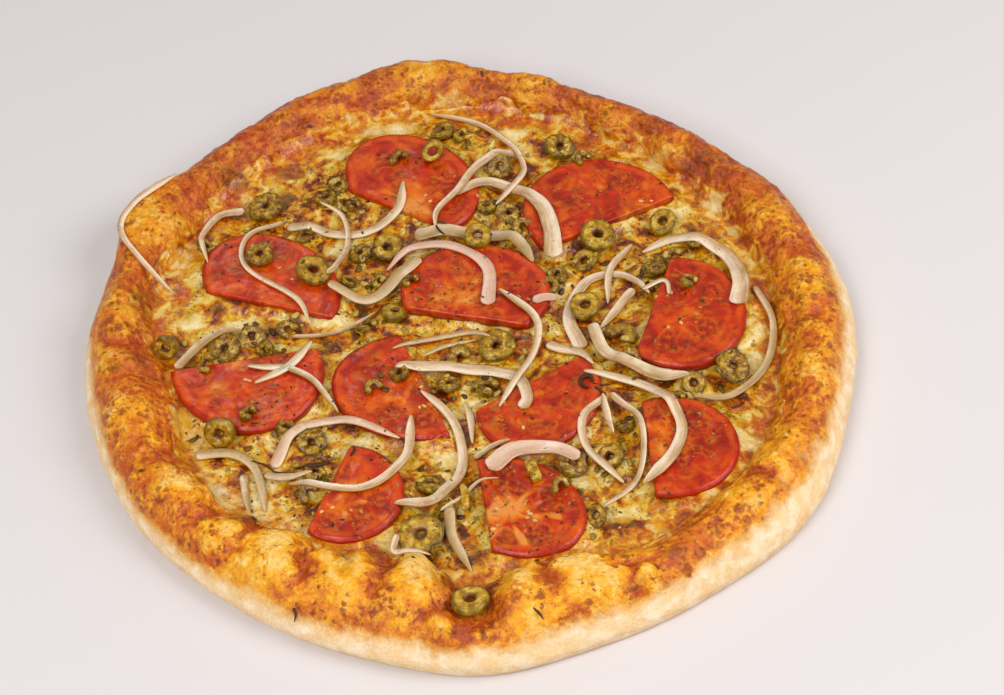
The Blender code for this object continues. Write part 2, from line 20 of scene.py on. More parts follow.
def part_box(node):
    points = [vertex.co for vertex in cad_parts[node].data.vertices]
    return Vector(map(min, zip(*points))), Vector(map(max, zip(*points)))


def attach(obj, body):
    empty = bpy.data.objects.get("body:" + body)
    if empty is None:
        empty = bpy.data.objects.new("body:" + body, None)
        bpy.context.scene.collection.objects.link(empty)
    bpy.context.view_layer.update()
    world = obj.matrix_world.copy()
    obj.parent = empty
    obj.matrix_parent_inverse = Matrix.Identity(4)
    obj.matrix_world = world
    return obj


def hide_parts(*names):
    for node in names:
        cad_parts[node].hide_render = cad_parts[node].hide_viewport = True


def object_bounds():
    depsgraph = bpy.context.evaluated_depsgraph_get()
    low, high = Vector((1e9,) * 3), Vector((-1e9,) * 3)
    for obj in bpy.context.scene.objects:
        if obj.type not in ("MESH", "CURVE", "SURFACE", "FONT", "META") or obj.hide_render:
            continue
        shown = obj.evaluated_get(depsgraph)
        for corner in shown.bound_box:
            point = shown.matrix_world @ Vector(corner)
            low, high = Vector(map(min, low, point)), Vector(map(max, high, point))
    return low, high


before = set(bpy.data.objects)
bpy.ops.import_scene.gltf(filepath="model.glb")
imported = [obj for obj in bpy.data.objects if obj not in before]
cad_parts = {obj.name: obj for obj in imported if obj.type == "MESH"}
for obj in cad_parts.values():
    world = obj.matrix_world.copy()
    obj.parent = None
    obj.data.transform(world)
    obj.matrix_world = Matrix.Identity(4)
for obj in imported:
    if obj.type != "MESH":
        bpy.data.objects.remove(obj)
CAD_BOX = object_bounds()

LOG = logging.getLogger("pizza")
MM = 0.001
Array = np.ndarray
Socket = bpy.types.NodeSocket
Feed = Union[float, Sequence[float], Socket]
Piece = bpy.types.Object
Material = bpy.types.Material
Node = bpy.types.Node
Stops = tuple[tuple[float, str], ...]
Rows = Sequence[tuple[float, ...]]
Placed = tuple[float, float, float, float, Vector, float]

# Sizes shared with the solids, in millimetres
RIM_RADIUS = 160.3
CHEESE_RADIUS = 129.7
FLOOR_THICKNESS = 6.0
CHEESE_THICKNESS = 3.2
TOMATO_THICKNESS = 4.6
OLIVE_THICKNESS = 3.8
OLIVE_HOLE = 3.6
STRIP_THICKNESS = 1.6
DOUGH_GAP = 0.3

# Rays that feel for what lies below: their direction, and the height they start from in metres
SIGHT = Vector((0, 0, -1))
ABOVE = 0.2

# (direction, half width in degrees, height in mm) of the swellings of the rim's two edges
OUTER_BULGES = (
    (26, 5, 2.6), (38, 16, -2.4), (60, 16, -4.6), (95, 10, 13.0), (114, 12, 8.6), (131, 9, 4.2),
    (149, 7, 7.5), (172, 16, 1.6), (210, 12, 1.4), (222, 30, -4.0), (270, 12, 4.6), (294, 12, 1.6),
    (322, 16, 8.1), (0, 22, 5.6),
)
INNER_BULGES = (
    (95, 34, 10.4), (135, 22, 4.7), (165, 14, 4.7), (190, 14, -9.6), (235, 16, -12.5), (256, 10, -16.0),
    (281, 10, -9.6), (330, 20, 5.2),
)

# Blisters and dents of the rim: direction, radius, half size along, half size across, height
RIM_LOBES = (
    (193, 144, 21, 15, 3.6), (212, 132, 19, 16, 3.8), (225, 141, 12, 9, 1.6), (234, 138, 16, 16, 4.0),
    (247, 133, 17, 15, 3.6), (259, 131, 15, 16, 4.8), (264, 151, 6, 5, 3.0), (267, 128, 5, 9, -7.0),
    (269, 143, 10, 10, -8.0), (277, 141, 17, 16, 3.4), (287, 139, 20, 17, 4.4), (295, 153, 7, 6, 1.8),
    (303, 150, 12, 12, 1.0), (316, 147, 15, 13, 2.4), (326, 147, 14, 14, 2.4), (345, 148, 22, 14, 2.6),
    (3, 146, 20, 13, 2.2), (19, 143, 18, 12, 1.8), (44, 136, 13, 10, 1.8), (58, 136, 12, 10, 1.6),
    (74, 146, 16, 12, 2.0), (92, 154, 26, 13, 2.8), (110, 153, 18, 12, 1.8), (123, 129, 6, 6, -3.0),
    (133, 137, 8, 6, -2.5), (151, 152, 22, 15, 5.5), (170, 148, 18, 13, 2.0), (182, 148, 13, 12, 1.4),
)

# Section of the rim, from its foot to its underside: share of the way across, height in mm
RIM_SECTION = (
    (0.0, 6.0), (0.045, 9.2), (0.13, 14.96), (0.25, 18.04), (0.40, 21.34), (0.56, 22.0), (0.71, 20.46),
    (0.84, 16.94), (0.94, 12.32), (1.0, 7.48), (0.99, 3.3), (0.955, 0.66), (0.90, 0.0),
)

# How dark and speckled the rim is baked: direction, half width in degrees, strength
TOAST = (
    (190, 20, 0.23), (215, 10, 0.06), (340, 24, 0.10), (10, 18, 0.08), (48, 20, 0.16), (128, 14, 0.10),
    (160, 12, 0.10), (245, 22, -0.05), (285, 16, -0.03), (305, 8, 0.05), (95, 14, -0.02),
)

# Where the baked cheese ends and the bare dough begins on the outer side: direction, half
# width, how much further up the dough shows
BARE_DOUGH = (
    (352, 30, 0.26), (316, 20, 0.32), (284, 14, 0.08), (262, 14, -0.02), (238, 16, -0.14),
    (212, 16, -0.10), (186, 14, 0.05), (90, 56, -0.30),
)

# Patches of the rim and the cheese: x, y, half size along x and y
WHITE_POOLS = (
    (-26, 130, 16, 6), (4, 142, 8, 5), (32, 111, 8, 5), (92, 94, 9, 6), (115, 66, 8, 6),
    (123, -8, 6, 10), (121, -27, 6, 10), (-121, 60, 6, 8), (-118, 24, 8, 5), (-119, -32, 7, 8),
    (-114, -43, 7, 7), (-85, -66, 9, 10), (-87, -82, 8, 9), (-98, -76, 6, 6), (1, -38, 8, 5),
    (46, -80, 7, 5), (58, -99, 10, 5), (112, -67, 8, 8), (-29, -108, 9, 6), (-104, -70, 5, 6),
    (-70, -95, 7, 4), (-48, 118, 10, 6), (-95, 20, 14, 4), (10, 5, 12, 5), (45, 22, 8, 9),
    (-56, 17, 12, 5), (28, 122, 10, 5), (60, 92, 9, 6), (110, 20, 7, 9), (-9, -64, 8, 8),
    (-46, -52, 12, 6), (96, 60, 9, 6), (-48, 60, 10, 6), (-102, 45, 7, 8), (30, -92, 4, 8),
    (-12, -94, 6, 9), (50, 70, 4, 8), (92, -40, 8, 4), (-58, -47, 8, 4), (-110, -18, 6, 9),
    (-38, 112, 12, 5),
)
DARK_MARKS = (
    (-9, -128, 8, 6), (60, -142, 5, 2), (98, 110, 8, 3), (112, 86, 6, 5), (-104, 86, 5, 4),
    (-137, 30, 4, 7), (-90, -92, 7, 3), (5, -132, 4, 6), (-52, -118, 3, 7), (-149, 14, 4, 4),
    (-146, -9, 4, 4), (131, 3, 4, 6), (-120, 44, 4, 6), (106, 84, 5, 6), (-39, -113, 4, 5),
    (-135, -4, 5, 4), (156, 2, 3, 4), (72, 131, 7, 2.5),
)
SAUCE_MARKS = (
    (-89, 122, 13, 6), (-71, 120, 9, 6), (-41, 142, 12, 4), (-59, 141, 9, 4), (21, 138, 10, 5),
    (31, 129, 9, 6), (57, 111, 11, 5), (79, 127, 10, 4), (103, 108, 10, 6), (112, 94, 7, 6),
    (106, 82, 6, 7), (119, 65, 5, 8), (133, 33, 5, 9), (129, 8, 5, 12), (151, 32, 4, 10),
    (-120, 38, 6, 9), (-130, 22, 6, 8), (-136, 4, 6, 10), (-114, 90, 7, 7), (-125, -58, 7, 6),
    (-97, -74, 5, 7), (-39, -112, 6, 6), (-16, -147, 9, 4), (13, -143, 4, 5), (28, -124, 11, 3),
    (74, -132, 3.6, 2.8), (81, -142, 3.2, 2.8), (88, -135, 3.4, 3), (118, -60, 5, 9), (59, -143, 5, 2),
    (-84, -97, 8, 3), (144, -28, 5, 8), (138, -52, 6, 6), (-98, 96, 6, 12), (4, 128, 5, 7),
)
BLISTERS = ((-96, 104, 7.5, 5), (-72, 109, 7.5, 5))
TOASTED_BUMPS = (
    (77, -128.5, 4.5, 4.2), (80, -134, 3.4, 2.4), (86, -128, 2.6, 2.8), (103.5, -111, 2.2, 2.2),
    (106, -115, 1.8, 1.6),
)


class Slot(Enum):
    """Material slots of the record."""

    CRUST = "crust"
    CHEESE = "cheese"
    TOMATO = "tomato"
    ONION = "onion"
    OLIVE = "olive"


class Flesh(Enum):
    """How an olive ring came out of the oven."""

    PLUMP = 0.10
    DRY = 0.55
    SHRIVELLED = 1.0


# ---------------------------------------------------------------- tables of the toppings

@dataclass(frozen=True)
class TomatoCut:
    """One half slice: the middle of its cut edge, its direction, and the ellipse it came from.

    side is +1 or -1 for the side that the round part is on; centre, half_long, half_deep and
    lean shape the ellipse. core is the pale middle of the fruit as x, y on the pizza, glow how
    pale it is, and wet how deep its seed pockets are.
    """

    name: str
    x: float
    y: float
    heading: float
    side: int
    centre: float
    half_long: float
    half_deep: float
    lean: float
    core: tuple[float, float]
    glow: float
    wet: float
    spokes: int


TOMATO_CUTS = (
    TomatoCut("tomato_1", -24, 77, -34, 1, 17, 33.5, 26.5, -0.21, (-18, 78), 0.85, 0.25, 6),
    TomatoCut("tomato_2", 68, 58, -158, -1, 7.5, 32.7, 34.0, 0.09, (76, 68), 0.75, 0.2, 5),
    TomatoCut("tomato_3", -82, 27, -22, 1, 12, 32.3, 27.0, -0.29, (-80, 42), 0.25, 0.15, 5),
    TomatoCut("tomato_4", 2, 9, -17, 1, 15.5, 32.3, 27.0, 0.04, (0, 18), 0.8, 0.2, 6),
    TomatoCut("tomato_5", -92, -4, 5, -1, 4.5, 31.7, 34.8, 0.10, (-97, -14), 0.6, 0.2, 5),
    TomatoCut("tomato_6", -17, -25, -72, -1, 2, 30.3, 35.0, -0.22, (-21, -32), 0.6, 0.45, 5),
    TomatoCut("tomato_7", 26, -29, 28, -1, 10, 28.1, 24.1, -0.10, (20, -42), 0.6, 0.25, 6),
    TomatoCut("tomato_8", 82, 7, -111, 1, 12, 30.1, 28.2, 0.09, (90, 2), 0.55, 0.3, 6),
    TomatoCut("tomato_9", 72, -69, -89, 1, 9.7, 25.7, 27.0, 0.03, (77, -63), 0.8, 0.45, 5),
    TomatoCut("tomato_10", 4, -91, -86, 1, 12, 25.2, 27.7, 0.25, (13, -99), 1.0, 1.0, 6),
    TomatoCut("tomato_11", -58, -76, -114, 1, 7.5, 24.1, 23.8, 0.04, (-52, -84), 0.75, 0.3, 5),
)


@dataclass(frozen=True)
class OliveCut:
    """One olive ring: centre, outer diameter, tilt and the direction it leans to.

    sweep is its length in round, seed its own unevenness, and lift how far its middle is above
    what it lies on, for rings that stand for no node.
    """

    name: str
    x: float
    y: float
    diameter: float
    tilt: float
    towards: float
    sweep: float
    seed: int
    flesh: Flesh
    lift: float = 1.6
    thickness: float = OLIVE_THICKNESS


def node_olives() -> tuple[OliveCut, ...]:
    """The rings that stand for a node each.

    Returns:
        The cuts, with the same unevenness as the solids.
    """
    low = (
        (-83, 86, 16, 12, 200, 360, Flesh.SHRIVELLED), (-62, 41, 15, 8, 300, 360, Flesh.PLUMP),
        (-85, 53, 12, 14, 240, 360, Flesh.SHRIVELLED), (62, 49, 15.5, 10, 290, 360, Flesh.PLUMP),
        (50, 109, 13.5, 10, 250, 360, Flesh.SHRIVELLED), (91, 57, 12.5, 10, 270, 360, Flesh.PLUMP),
        (-30, 56, 13.5, 12, 260, 360, Flesh.DRY), (14, -6, 16, 8, 280, 360, Flesh.DRY),
        (66, -7, 15, 10, 200, 220, Flesh.DRY), (111, -32, 16, 10, 300, 360, Flesh.SHRIVELLED),
        (-22, -104, 18, 18, 250, 360, Flesh.PLUMP), (41, -73, 13, 22, 280, 360, Flesh.SHRIVELLED),
        (-125, 6, 11, 70, 250, 360, Flesh.DRY), (-102, -44, 14, 62, 255, 360, Flesh.DRY),
        (-7, 106, 10, 60, 270, 360, Flesh.PLUMP), (-4, -142, 14.5, 7, 90, 360, Flesh.PLUMP),
    )
    top = ((10, 52, 12, 10, 260, 360, Flesh.PLUMP), (53, 11, 13.5, 8, 270, 360, Flesh.PLUMP))
    cuts = [OliveCut(f"olive_{k + 1}", *row[:6], k + 1, row[6]) for k, row in enumerate(low)]
    cuts += [OliveCut(f"olive_{k + 17}", *row[:6], k + 31, row[6]) for k, row in enumerate(top)]
    return tuple(cuts)


def sunk_olives() -> tuple[OliveCut, ...]:
    """The rings that are half sunk in the cheese.

    Returns:
        The cuts, at the places where the cheese solid has them.
    """
    rows = (
        (-56, 89, 11, 16, 120), (24, 70, 12, 14, 300), (-101, 5, 15, 24, 240), (-28, 17, 12, 18, 60),
        (43, 31, 10, 20, 200), (84, 30, 12, 26, 140), (94, -36, 11, 20, 280), (-65, -50, 13, 18, 260),
        (-2, 124, 11, 24, 160), (56, -71, 12, 24, 220), (-64, -66, 11, 22, 20), (-17, -77, 13, 22, 90),
    )
    return tuple(OliveCut(f"sunk_olive_{k}", *row, 360, 60 + k, Flesh.SHRIVELLED if k % 3 else Flesh.DRY,
                          0.35) for k, row in enumerate(rows))


def small_olives() -> tuple[OliveCut, ...]:
    """Bits of ring too small for a node, read at their places in the picture.

    Returns:
        The cuts, each lying on whatever carries it.
    """
    rows = (
        (6, 121, 9, 20, 150, 300), (-22, 106, 10, 18, 200, 210), (22, 100, 12, 40, 260, 360),
        (15, 75, 10, 20, 90, 360), (-89, 11, 11, 30, 250, 360), (-83, 2, 9, 64, 240, 360),
        (-74, 14, 10, 24, 290, 280), (-42, 55, 11, 18, 180, 360), (-40, 12, 10, 26, 100, 300),
        (39, 23, 9, 12, 240, 360), (-2, -10, 12, 20, 320, 250), (-7, -24, 10, 18, 40, 360),
        (9, -27, 12, 16, 70, 300), (-27, -20, 9, 30, 190, 360), (-38, -27, 9, 26, 300, 240),
        (-47, 38, 8, 30, 20, 360), (-34, 37, 8, 28, 160, 300), (94, 36, 9, 40, 250, 200),
        (85, 27, 9, 24, 80, 360), (81, 21, 8, 24, 330, 300), (55, 39, 12, 22, 210, 360),
        (-66, -76, 10, 26, 260, 260), (-15, -112, 9, 62, 270, 240), (64, -54, 9, 30, 120, 360),
        (48, -100, 10, 24, 200, 360), (-75, -42, 9, 24, 10, 260), (-90, -36, 9, 30, 140, 300),
        (30, 60, 10, 20, 270, 260), (98, 16, 9, 26, 40, 300), (-50, 96, 9, 22, 220, 360),
        (-108, -6, 10, 30, 200, 300), (60, 96, 9, 26, 300, 260), (-12, -90, 10, 26, 150, 360),
        (86, -46, 9, 30, 80, 280), (-66, 68, 9, 26, 180, 300), (70, -20, 10, 22, 260, 360),
        (35, -88, 9, 30, 320, 240), (-44, 84, 8, 20, 60, 280), (104, 44, 8, 30, 110, 360),
        (-110, 66, 8, 30, 10, 300), (-6, 62, 9, 30, 250, 220), (-20, 30, 8, 22, 130, 260),
    )
    return tuple(OliveCut(f"small_olive_{k}", *row, 100 + k, Flesh.SHRIVELLED if k % 4 else Flesh.DRY, 0.9,
                          3.0) for k, row in enumerate(rows))


@dataclass(frozen=True)
class StripCut:
    """One strip, of onion or of another scrap: width at its start and end, then its route.

    pink is how much of the layer's purple skin shows, clear how glassy it came out, and sharp
    which ends run to a point: 0 neither, 1 the start, 2 the end, 3 both.
    """

    name: str
    first: float
    last: float
    route: tuple[tuple[float, float], ...]
    pink: float = 0.1
    clear: float = 0.3
    sharp: int = 2
    thick: float = STRIP_THICKNESS


NODE_STRIPS = tuple(StripCut(f"onion_{k + 1}", *row) for k, row in enumerate((
    (3.5, 3.0, ((-121, -6), (-114, 5), (-104, 11), (-93, 12)), 0.0, 0.7),
    (3.8, 3.0, ((-113, -52), (-99, -51), (-90, -57), (-86, -68), (-84, -83)), 0.0, 0.8),
    (2.4, 3.0, ((126, 16), (131, -6), (125, -29), (109, -43), (93, -45)), 0.0, 0.8),
    (3.5, 7.0, ((0, 81), (19, 90), (37, 74), (42, 57), (42, 40)), 0.15, 0.2, 1),
    (4.0, 1.8, ((30, 109), (14, 100), (3, 83), (-7, 72), (-8, 60)), 0.0, 0.3),
    (3.6, 1.6, ((-92, 84), (-104, 84), (-111, 71), (-108, 53)), 0.1, 0.2),
    (6.3, 4.3, ((-18, 60), (6, 59), (25, 55), (33, 36)), 0.1, 0.75),
    (3.8, 3.2, ((-74, 75), (-44, 67), (-25, 75), (-21, 93)), 0.1, 0.4),
    (1.8, 2.2, ((-75, 78), (-91, 66), (-91, 48), (-70, 28), (-64, 14)), 0.0, 0.3),
    (3.6, 5.4, ((-56, 33), (-40, 26), (-24, 35), (-16, 44)), 0.1, 0.75, 0),
    (1.6, 2.6, ((-59, 85), (-49, 78), (-47, 61), (-52, 42), (-56, 37)), 0.0, 0.2, 1),
    (2.4, 5.5, ((-31, 43), (-19, 53), (-1, 49), (13, 35), (12, 13)), 0.9, 0.25, 1),
    (3.0, 7.0, ((80, 42), (96, 48), (115, 37), (120, 17), (117, 1)), 0.2, 0.3, 1),
    (2.4, 5.6, ((81, 13), (71, 29), (56, 28), (46, 9), (50, -10)), 0.3, 0.25, 1),
    (3.4, 3.0, ((75, 17), (69, 12), (58, 0)), 0.0, 0.3),
    (3.0, 2.4, ((77, 48), (66, 33), (63, 14)), 0.0, 0.2, 3),
    (4.3, 5.6, ((55, 2), (60, -15), (77, -28), (93, -34)), 0.0, 0.35),
    (4.2, 2.4, ((-81, -60), (-71, -44), (-51, -41), (-28, -54)), 0.7, 0.3),
    (3.6, 2.6, ((-23, -42), (-27, -65), (-45, -79), (-75, -70)), 0.2, 0.15, 3),
    (4.4, 4.4, ((-29, -18), (-5, -16), (19, -22), (25, -37), (22, -44)), 0.25, 0.2, 1),
    (2.8, 4.4, ((-19, -29), (-6, -46), (-4, -69), (-15, -86), (-32, -88)), 0.1, 0.25, 3),
    (7.2, 4.4, ((7, -75), (18, -66), (33, -67), (44, -74)), 0.8, 0.2, 0),
    (3.0, 2.4, ((17, 21), (30, 7), (32, -4), (25, -20), (13, -42)), 0.0, 0.15, 3),
    (3.0, 4.6, ((49, -26), (73, -33), (86, -57), (82, -74), (68, -89)), 0.2, 0.2, 3),
    (3.0, 2.6, ((58, -41), (47, -51), (48, -67), (61, -84)), 0.0, 0.2),
    (2.6, 1.8, ((59, -38), (70, -55), (67, -81), (50, -95)), 0.0, 0.45),
    (2.0, 2.4, ((-7, 138), (18, 126), (33, 99), (19, 74)), 0.0, 0.15, 3),
    (3.0, 1.8, ((-121, 101), (-139, 84), (-145, 69), (-137, 52), (-122, 36)), 0.0, 0.1, 3),
)))
PRONGS = (
    StripCut("onion_29", 3.4, 2.8, ((-63, 2), (-73, -11), (-88, -19)), 0.0, 0.1, 3),
    StripCut("onion_29", 2.6, 2.8, ((-91, -9), (-82, -11), (-74, -12)), 0.0, 0.1, 1),
    StripCut("onion_29", 2.6, 1.8, ((-75, -11), (-64, -19), (-57, -30), (-53, -38)), 0.0, 0.3, 2),
)
SMALL_STRIPS = tuple(StripCut(f"small_onion_{k}", *row) for k, row in enumerate((
    (1.3, 1.0, ((-14, -92), (-5, -86), (2, -80), (11, -79)), 0.0, 0.2),
    (3.0, 2.4, ((-1, -34), (1, -44), (1, -57)), 0.0, 0.2, 3),
    (3.0, 2.6, ((-85, -63), (-73, -68), (-64, -68)), 0.0, 0.6),
    (2.3, 2.0, ((1, -65), (8, -61), (17, -59)), 0.0, 0.4),
    (3.0, 2.6, ((56, -40), (57, -50), (59, -58)), 0.0, 0.2, 3),
    (3.8, 3.0, ((35, -5), (41, -9), (49, -13), (54, -21)), 0.1, 0.4),
    (1.7, 1.7, ((78, 15), (86, 19), (89, 17), (89, 10)), 0.0, 0.2, 0),
    (1.7, 1.4, ((-73, 11), (-60, 10), (-46, 12), (-36, 19)), 0.0, 0.6),
    (2.0, 1.6, ((-18, -7), (-8, -2), (7, 0)), 0.0, 0.7, 3),
    (4.0, 3.0, ((31, 13), (36, 15), (42, 15)), 0.9, 0.4, 0),
    (4.0, 3.0, ((-10, -91), (-10, -102), (-7, -111), (-3, -121)), 0.0, 0.8),
    (2.4, 1.6, ((-31, -103), (-33, -111), (-27, -112), (-18, -116)), 0.0, 0.1),
    (3.0, 2.0, ((-93, -62), (-92, -74), (-90, -86)), 0.0, 0.8),
    (2.4, 1.8, ((12, -3), (2, 3), (-14, 2), (-30, -5)), 0.0, 0.8, 3),
)))
BURNT_SCRAPS = (
    StripCut("burnt_bit", 1.6, 1.4, ((51, -36), (47.6, -33), (48.5, -29.6), (51.8, -29.4), (52.8, -33)),
             sharp=1, thick=1.5),
    StripCut("burnt_stem", 0.6, 0.5, ((52, -32.5), (56, -33.5), (60.5, -33)), thick=0.6),
    StripCut("burnt_stalk", 1.3, 0.8, ((53, -34.5), (55.5, -37), (58, -39.5)), thick=0.9),
    StripCut("fibre", 0.6, 0.7, ((-90, -56), (-84, -59), (-79, -64), (-69, -65.2)), thick=0.6),
    StripCut("dark_sliver", 1.2, 2.2, ((-72, -65.2), (-65, -64), (-57, -61.5)), sharp=3, thick=1.1),
    StripCut("leaf_stem", 0.9, 0.7, ((-8, 62.4), (-6.6, 59), (-4.0, 55.6)), thick=0.8),
    StripCut("dark_scrap", 1.8, 1.4, ((6.6, -22.4), (8.4, -23.4), (10.2, -22.6)), sharp=3, thick=1.2),
    StripCut("olive_skin", 1.2, 0.9, ((-49, -62), (-47, -59), (-47.5, -56)), sharp=3, thick=0.9),
    StripCut("rim_leaf_1", 1.3, 0.5, ((-73, -134), (-72.2, -137), (-73, -140)), sharp=2, thick=0.7),
    StripCut("rim_leaf_2", 1.1, 0.7, ((19.5, -149.5), (22, -152), (23.5, -154.6)), sharp=3, thick=0.7),
)
GREEN_SCRAPS = (
    StripCut("green_stick", 4.0, 4.0, ((23.0, -72.4), (24.6, -78), (26.4, -84.2)), sharp=0, thick=3.0),
    StripCut("yellow_chunk", 2.6, 3.0, ((-4.2, -79.5), (-3.4, -86), (-3.8, -93)), sharp=0, thick=2.2),
    StripCut("green_peel", 2.0, 1.4, ((44, 33), (47, 36.5), (51.5, 37)), thick=1.4),
)


# ---------------------------------------------------------------- helpers for shapes

def between(a: Union[float, Array], b: float) -> Union[float, Array]:
    """Signed angle from b to a in degrees, between -180 and 180."""
    return (a - b + 180.0) % 360.0 - 180.0


def swollen(base: float, bulges: Rows, degrees: Array) -> Array:
    """A value that swells round given directions.

    Args:
        base: the value away from the swellings.
        bulges: direction, half width in degrees and height of each.
        degrees: directions to give it for.

    Returns:
        The value at each direction.
    """
    total = np.full(np.shape(degrees), float(base))
    for centre, width, height in bulges:
        total += height * np.exp(-(between(degrees, centre) / width) ** 2)
    return total


def rough(points: Array, size: float, shift: float = 0.0) -> Array:
    """Smooth noise at places, about -1 to 1, with bumps of a size; shift makes two uses differ."""
    return np.array([noise.noise(Vector(p)) for p in points / size + shift])


def pebbled(points: Array, size: float) -> Array:
    """Rounded cells a size apart, 1 in the middle of each and about 0 between them."""
    near = np.array([noise.voronoi(Vector(p))[0][0] for p in points / size])
    return np.clip(1.0 - near, 0.0, 1.0)


def ease(values: Array, low: float, high: float) -> Array:
    """Smooth step from 0 at low to 1 at high."""
    t = np.clip((values - low) / (high - low), 0.0, 1.0)
    return t * t * (3.0 - 2.0 * t)


def squared(wave: Array, power: float) -> Array:
    """A wave made blockier, so that a round section becomes a slab with round edges."""
    return np.sign(wave) * np.abs(wave) ** power


def smooth_line(points: Array, before: Array, after: Array, steps: int) -> Array:
    """Steps along a smooth curve through points.

    Args:
        points: the points, one row each.
        before: where the curve comes from.
        after: where it goes to.
        steps: how many there are from one point to the next.

    Returns:
        One row for each step, up to the last point.
    """
    ends = [before, *points, after]
    dense = [0.5 * (2 * b + (c - a) * t + (2 * a - 5 * b + 4 * c - d) * t * t
                    + (3 * b - 3 * c + d - a) * t ** 3)
             for a, b, c, d in zip(ends, ends[1:], ends[2:], ends[3:])
             for t in np.linspace(0, 1, steps, endpoint=False)]
    return np.array([*dense, points[-1]])


def spots(x: Array, y: Array, marks: Rows) -> Array:
    """Soft patches, 1 in the middle of each.

    Args:
        x: places, in millimetres.
        y: places, in millimetres.
        marks: middle and half sizes of each patch.

    Returns:
        The strongest patch at each place.
    """
    best = np.zeros(x.shape)
    for mx, my, rx, ry in marks:
        best = np.maximum(best, np.exp(-((x - mx) / rx) ** 2 - ((y - my) / ry) ** 2))
    return best


def clear_selection() -> None:
    """Leave edit mode and deselect everything."""
    if bpy.context.object and bpy.context.object.mode != "OBJECT":
        bpy.ops.object.mode_set(mode="OBJECT")
    bpy.ops.object.select_all(action="DESELECT")


def pick(piece: Piece) -> None:
    """Select one object alone and make it the active one."""
    clear_selection()
    piece.select_set(True)
    bpy.context.view_layer.objects.active = piece


def read_points(piece: Piece) -> Array:
    """Places of a mesh's vertices, in its own units."""
    flat = np.empty(len(piece.data.vertices) * 3)
    piece.data.vertices.foreach_get("co", flat)
    return flat.reshape(-1, 3)


def write_points(piece: Piece, points: Array) -> None:
    """Move a mesh's vertices to places given in millimetres."""
    piece.data.vertices.foreach_set("co", (points * MM).ravel())
    piece.data.update()


def mark(piece: Piece, **marks: Array) -> None:
    """Keep values or vectors at each vertex for the material to read.

    Args:
        piece: the object that gets them.
        marks: what the material calls each, with one number or one row of three for each vertex.
    """
    for name, values in marks.items():
        kind, field = ("FLOAT_VECTOR", "vector") if values.ndim == 2 else ("FLOAT", "value")
        layer = piece.data.attributes.new(name, kind, "POINT")
        layer.data.foreach_set(field, np.ascontiguousarray(values, dtype=float).ravel())


def new_sheet(name: str, across: int, along: int) -> tuple[Piece, Array, Array]:
    """A flat primitive grid to be wrapped into a form.

    Args:
        name: the piece's name.
        across: cells in the first direction.
        along: cells in the second direction.

    Returns:
        The object and each vertex's own place in it, from 0 to 1 in both directions.
    """
    clear_selection()
    bpy.ops.mesh.primitive_grid_add(x_subdivisions=across, y_subdivisions=along, size=2.0, location=(0, 0, 0))
    piece = bpy.context.object
    piece.name = piece.data.name = name
    own = (read_points(piece) + 1) / 2
    return piece, own[:, 0], own[:, 1]


def new_slab(name: str, cells: int) -> tuple[Piece, Array, Array, Array]:
    """A primitive grid pulled up into a slab, as wide as a unit disc.

    Args:
        name: the piece's name.
        cells: cells along each side.

    Returns:
        The object, then for each vertex how far out it is from 0 to 1, its turn in radians and
        whether it is on top.
    """
    piece = new_sheet(name, cells, cells)[0]
    bpy.ops.object.mode_set(mode="EDIT")
    bpy.ops.mesh.select_all(action="SELECT")
    bpy.ops.mesh.extrude_region_move(TRANSFORM_OT_translate={"value": (0, 0, 1)})
    bpy.ops.mesh.select_all(action="SELECT")
    bpy.ops.mesh.normals_make_consistent(inside=False)
    bpy.ops.object.mode_set(mode="OBJECT")
    flat = read_points(piece)
    u, v = flat[:, 0], flat[:, 1]
    wide = np.abs(u) >= np.abs(v)
    safe_u, safe_v = np.where(np.abs(u) < 1e-9, 1e-9, u), np.where(np.abs(v) < 1e-9, 1e-9, v)
    turn = np.where(wide, math.pi / 4 * v / safe_u + np.where(u < 0, math.pi, 0.0),
                    math.pi / 2 - math.pi / 4 * u / safe_v + np.where(v < 0, math.pi, 0.0))
    return piece, np.maximum(np.abs(u), np.abs(v)), turn, flat[:, 2] > 0.5


def weld(piece: Piece, gap: float = 0.02) -> None:
    """Close seams and poles and turn the faces outwards.

    Args:
        piece: the object to mend.
        gap: how near vertices are joined, in millimetres.
    """
    pick(piece)
    bpy.ops.object.mode_set(mode="EDIT")
    bpy.ops.mesh.select_all(action="SELECT")
    bpy.ops.mesh.remove_doubles(threshold=gap * MM)
    bpy.ops.mesh.normals_make_consistent(inside=False)
    bpy.ops.object.mode_set(mode="OBJECT")
    bpy.ops.object.shade_smooth()


def joined(pieces: Sequence[Piece], name: str) -> Piece:
    """Join loose pieces into one object.

    Args:
        pieces: the objects.
        name: the new piece's name.

    Returns:
        The object that holds them all.
    """
    clear_selection()
    for piece in pieces:
        piece.select_set(True)
    bpy.context.view_layer.objects.active = pieces[0]
    if len(pieces) > 1:
        bpy.ops.object.join()
    pieces[0].name = pieces[0].data.name = name
    return pieces[0]


def hand_over(piece: Piece, finish: Material,
              node: Optional[str] = None) -> None:
    """Give a finished piece its material and tie it to the part.

    Args:
        piece: the finished object.
        finish: its material.
        node: the node it stands for, or None.
    """
    piece.data.materials.clear()
    piece.data.materials.append(finish)
    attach(piece, "root")
    if node is not None:
        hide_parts(node)
    LOG.info("%s: %d faces", piece.name, len(piece.data.polygons))


